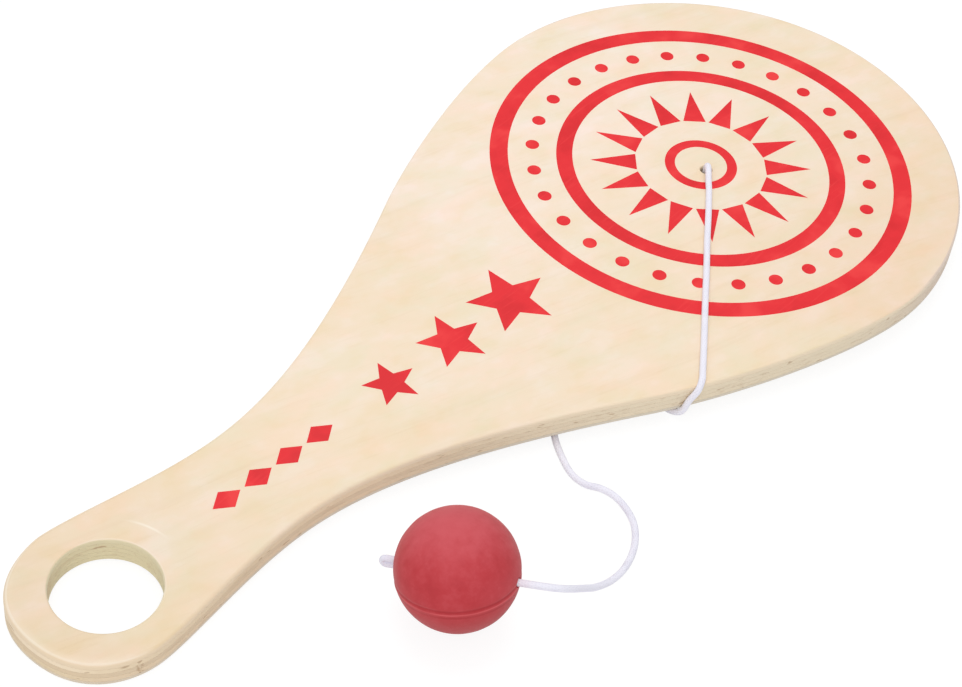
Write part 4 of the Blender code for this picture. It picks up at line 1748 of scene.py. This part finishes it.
    @staticmethod
    def even(points: list[Vector], step: float) -> list[Vector]:
        """The same line with points at an even spacing near a step."""
        runs = [0.0]
        shortest = 1e-12
        for first, second in zip(points, points[1:]):
            runs.append(runs[-1] + (second - first).length)
        count = max(round(runs[-1] / step), 2)
        spaced = []
        index = 0
        for number in range(count + 1):
            target = runs[-1] * number / count
            while index < len(runs) - 2 and runs[index + 1] < target:
                index += 1
            share = (target - runs[index]) / max(runs[index + 1] - runs[index], shortest)
            spaced.append(points[index].lerp(points[index + 1], share))
        return spaced

    def tube(
        self, name: str, path: list[Vector], radius: float, closed_loop: bool = False
    ) -> bpy.types.Object:
        """Sweep a round tube with a UV map along a path.

        Args:
            name: The piece's name.
            path: Evenly spaced centre points.
            radius: The tube's radius.
            closed_loop: Whether the tube's end meets its start.

        Returns:
            The tube, whose UV map run has turns round it in U and metres along it in V.
        """
        shape = bmesh.new()
        layer = shape.loops.layers.uv.new("run")
        side = (path[1] - path[0]).orthogonal().normalized()
        loops = []
        runs = []
        run = 0.0
        for index, point in enumerate(path):
            ahead = path[min(index + 1, len(path) - 1)] - path[max(index - 1, 0)]
            if closed_loop:
                ahead = path[(index + 1) % len(path)] - path[index - 1]
            ahead.normalize()
            side = (side - ahead * side.dot(ahead)).normalized()
            third = ahead.cross(side)
            loops.append(add_loop(shape, (
                point + (side * math.cos(turn) + third * math.sin(turn)) * radius
                for turn in turns_of(self.sides)
            )))
            runs.append(run)
            run += (path[(index + 1) % len(path)] - point).length
        if closed_loop:
            loops.append(loops[0])
            runs.append(run)
        for lower, upper, start, end in zip(loops, loops[1:], runs, runs[1:]):
            for corner in range(self.sides):
                after = (corner + 1) % self.sides
                face = shape.faces.new((lower[corner], lower[after], upper[after], upper[corner]))
                places = ((corner, start), (corner + 1, start), (corner + 1, end), (corner, end))
                for loop, (turned, height) in zip(face.loops, places):
                    loop[layer].uv = (turned / self.sides, height)
        if not closed_loop:
            shape.faces.new(list(reversed(loops[0])))
            shape.faces.new(loops[-1])
        return new_object(name, mesh_from(shape, name, sharp_from=50.0))

    def back_knot(self) -> bpy.types.Object:
        """A tight overhand knot behind the blade, drawn as a three-lobed loop of the cord."""
        strand = self.back_knot_strand
        spread = (self.back_knot_radius - strand) / 3
        rise = (self.back_knot_length - 2 * strand) / 2
        foot = self.hole_line()[0]
        middle = on_board(foot.x, foot.y, -self.clearance - self.back_knot_length / 2)
        path = [
            middle + Vector((
                spread * (math.sin(turn) + 2 * math.sin(2 * turn)),
                spread * (math.cos(turn) - 2 * math.cos(2 * turn)),
                -rise * math.sin(3 * turn),
            ))
            for turn in turns_of(self.back_knot_steps)
        ]
        return self.tube("back_knot", path, strand, closed_loop=True)

    def end_knot(self) -> bpy.types.Object:
        """The elastic's end past the ball, doubled back on itself in a short tight loop."""
        strand = self.end_knot_strand
        half_gap = self.end_knot_radius - strand
        straight = self.end_knot_length - strand - half_gap
        side = Vector((0, 0, 1))
        along = Vector((-1, 0, 0))
        start = along * (self.ball.mouth() + self.clearance)
        tucked = side * half_gap * self.end_knot_mouth_share
        tuck = along * self.end_knot_tuck
        spread = side * half_gap
        widened = along * straight * self.end_knot_wide_at
        path = [tucked - tuck, spread + widened]
        for step in range(self.end_knot_steps + 1):
            turn = math.pi * step / self.end_knot_steps
            path.append(spread * math.cos(turn) + along * (straight + half_gap * math.sin(turn)))
        path += [widened - spread, -tucked - tuck]
        ball = self.ball.matrix()
        placed = [ball @ (start + point) for point in path]
        return self.tube("end_knot", self.even(self.smooth(placed), self.end_knot_ring_step), strand)

    def build(self, effects: SharedEffects) -> None:
        braid = BraidedElastic(
            "elastic_braid", thread=paint(245, 244, 255), gap=paint(218, 215, 233)
        ).build(effects)
        knotted = BraidedElastic(
            "elastic_knot_braid", thread=paint(238, 238, 251), gap=paint(212, 210, 226)
        ).build(effects)
        path = self.even(self.smooth(self.route()), self.ring_step)
        cord = self.tube("elastic_cord", path, self.radius)
        knots = (
            (self.back_knot(), "elastic_back_knot", Body.PADDLE),
            (self.end_knot(), "elastic_end_knot", Body.ELASTIC_END),
        )
        for knot, node, body in knots:
            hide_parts(node)
            dress(knot, knotted, body)
        cord.data.materials.append(braid)
        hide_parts("elastic_face_run", "elastic_free_run", "elastic_ball_run")
        mouth = self.ball.matrix() @ Vector((self.ball.mouth(), 0, 0))
        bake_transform(cord)


@dataclass
class Studio:
    """Camera, lights and floor."""

    camera_at_mm: Triple = (-298.07, -222.27, 370.49)
    camera_turn_deg: Triple = (44.4375, -5.6781, -46.9585)
    lens_mm: float = 84.5
    sensor_mm: float = 36.0
    clip_start: float = 0.01
    world_strength: float = 0.62
    floor_size: float = 6.0

    def camera(self) -> None:
        """Create the camera at the photograph's angle."""
        data = bpy.data.cameras.new("camera")
        data.lens = self.lens_mm
        data.sensor_width = self.sensor_mm
        data.clip_start = self.clip_start
        camera = new_object("camera", data)
        camera.location = Vector(self.camera_at_mm) * MM
        camera.rotation_euler = [math.radians(turn) for turn in self.camera_turn_deg]
        bpy.context.scene.camera = camera

    @staticmethod
    def lamp(name: str, place: Triple, size: float, power: float) -> None:
        """Add a soft area light aimed at the middle of the paddle."""
        data = bpy.data.lights.new(name, "AREA")
        data.shape = "SQUARE"
        data.size = size
        data.energy = power
        light = new_object(name, data)
        light.location = place
        light.rotation_euler = (-Vector(place)).to_track_quat("-Z", "Y").to_euler()

    def world(self) -> None:
        """Fill light from all round, and a white background for the camera."""
        world = bpy.data.worlds.new("studio")
        bpy.context.scene.world = world
        world.use_nodes = True
        graph = Graph(world.node_tree)
        seen = graph.node("ShaderNodeLightPath").outputs["Is Camera Ray"]
        strength = graph.node("ShaderNodeMix", {0: seen, 2: self.world_strength, 3: 1.0}, data_type="FLOAT")
        backdrop = world.node_tree.nodes["Background"]
        graph.set(backdrop, Color=(1.0, 1.0, 1.0, 1.0), Strength=strength.outputs[0])

    def floor(self) -> None:
        """A wide pale floor under the object."""
        shape = bmesh.new()
        bmesh.ops.create_grid(shape, x_segments=1, y_segments=1, size=self.floor_size / 2)
        mesh = bpy.data.meshes.new("floor")
        shape.to_mesh(mesh)
        shape.free()
        mesh.materials.append(PaleFloor().build())
        new_object("floor", mesh)

    def build(self) -> None:
        """Set up the whole studio."""
        self.camera()
        self.world()
        self.floor()
        self.lamp("key_light", place=(0.2, 0.25, 0.9), size=0.6, power=2.75)
        self.lamp("fill_light", place=(-1.0, -0.6, 0.8), size=0.9, power=4.7)
        bpy.context.scene.view_settings.view_transform = "Standard"


def main() -> None:
    """Build the studio and every piece."""
    logging.basicConfig(level=logging.INFO, format="%(name)s: %(message)s")
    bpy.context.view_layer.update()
    effects = SharedEffects()
    Studio().build()
    board = Plywood()
    board.trace()
    ball = RubberBall()
    ElasticCord(board, ball).build(effects)
    board.build_plies(effects)
    FacePrint(board).build(effects)
    ball.build(effects)


if __name__ == "__main__":
    main()
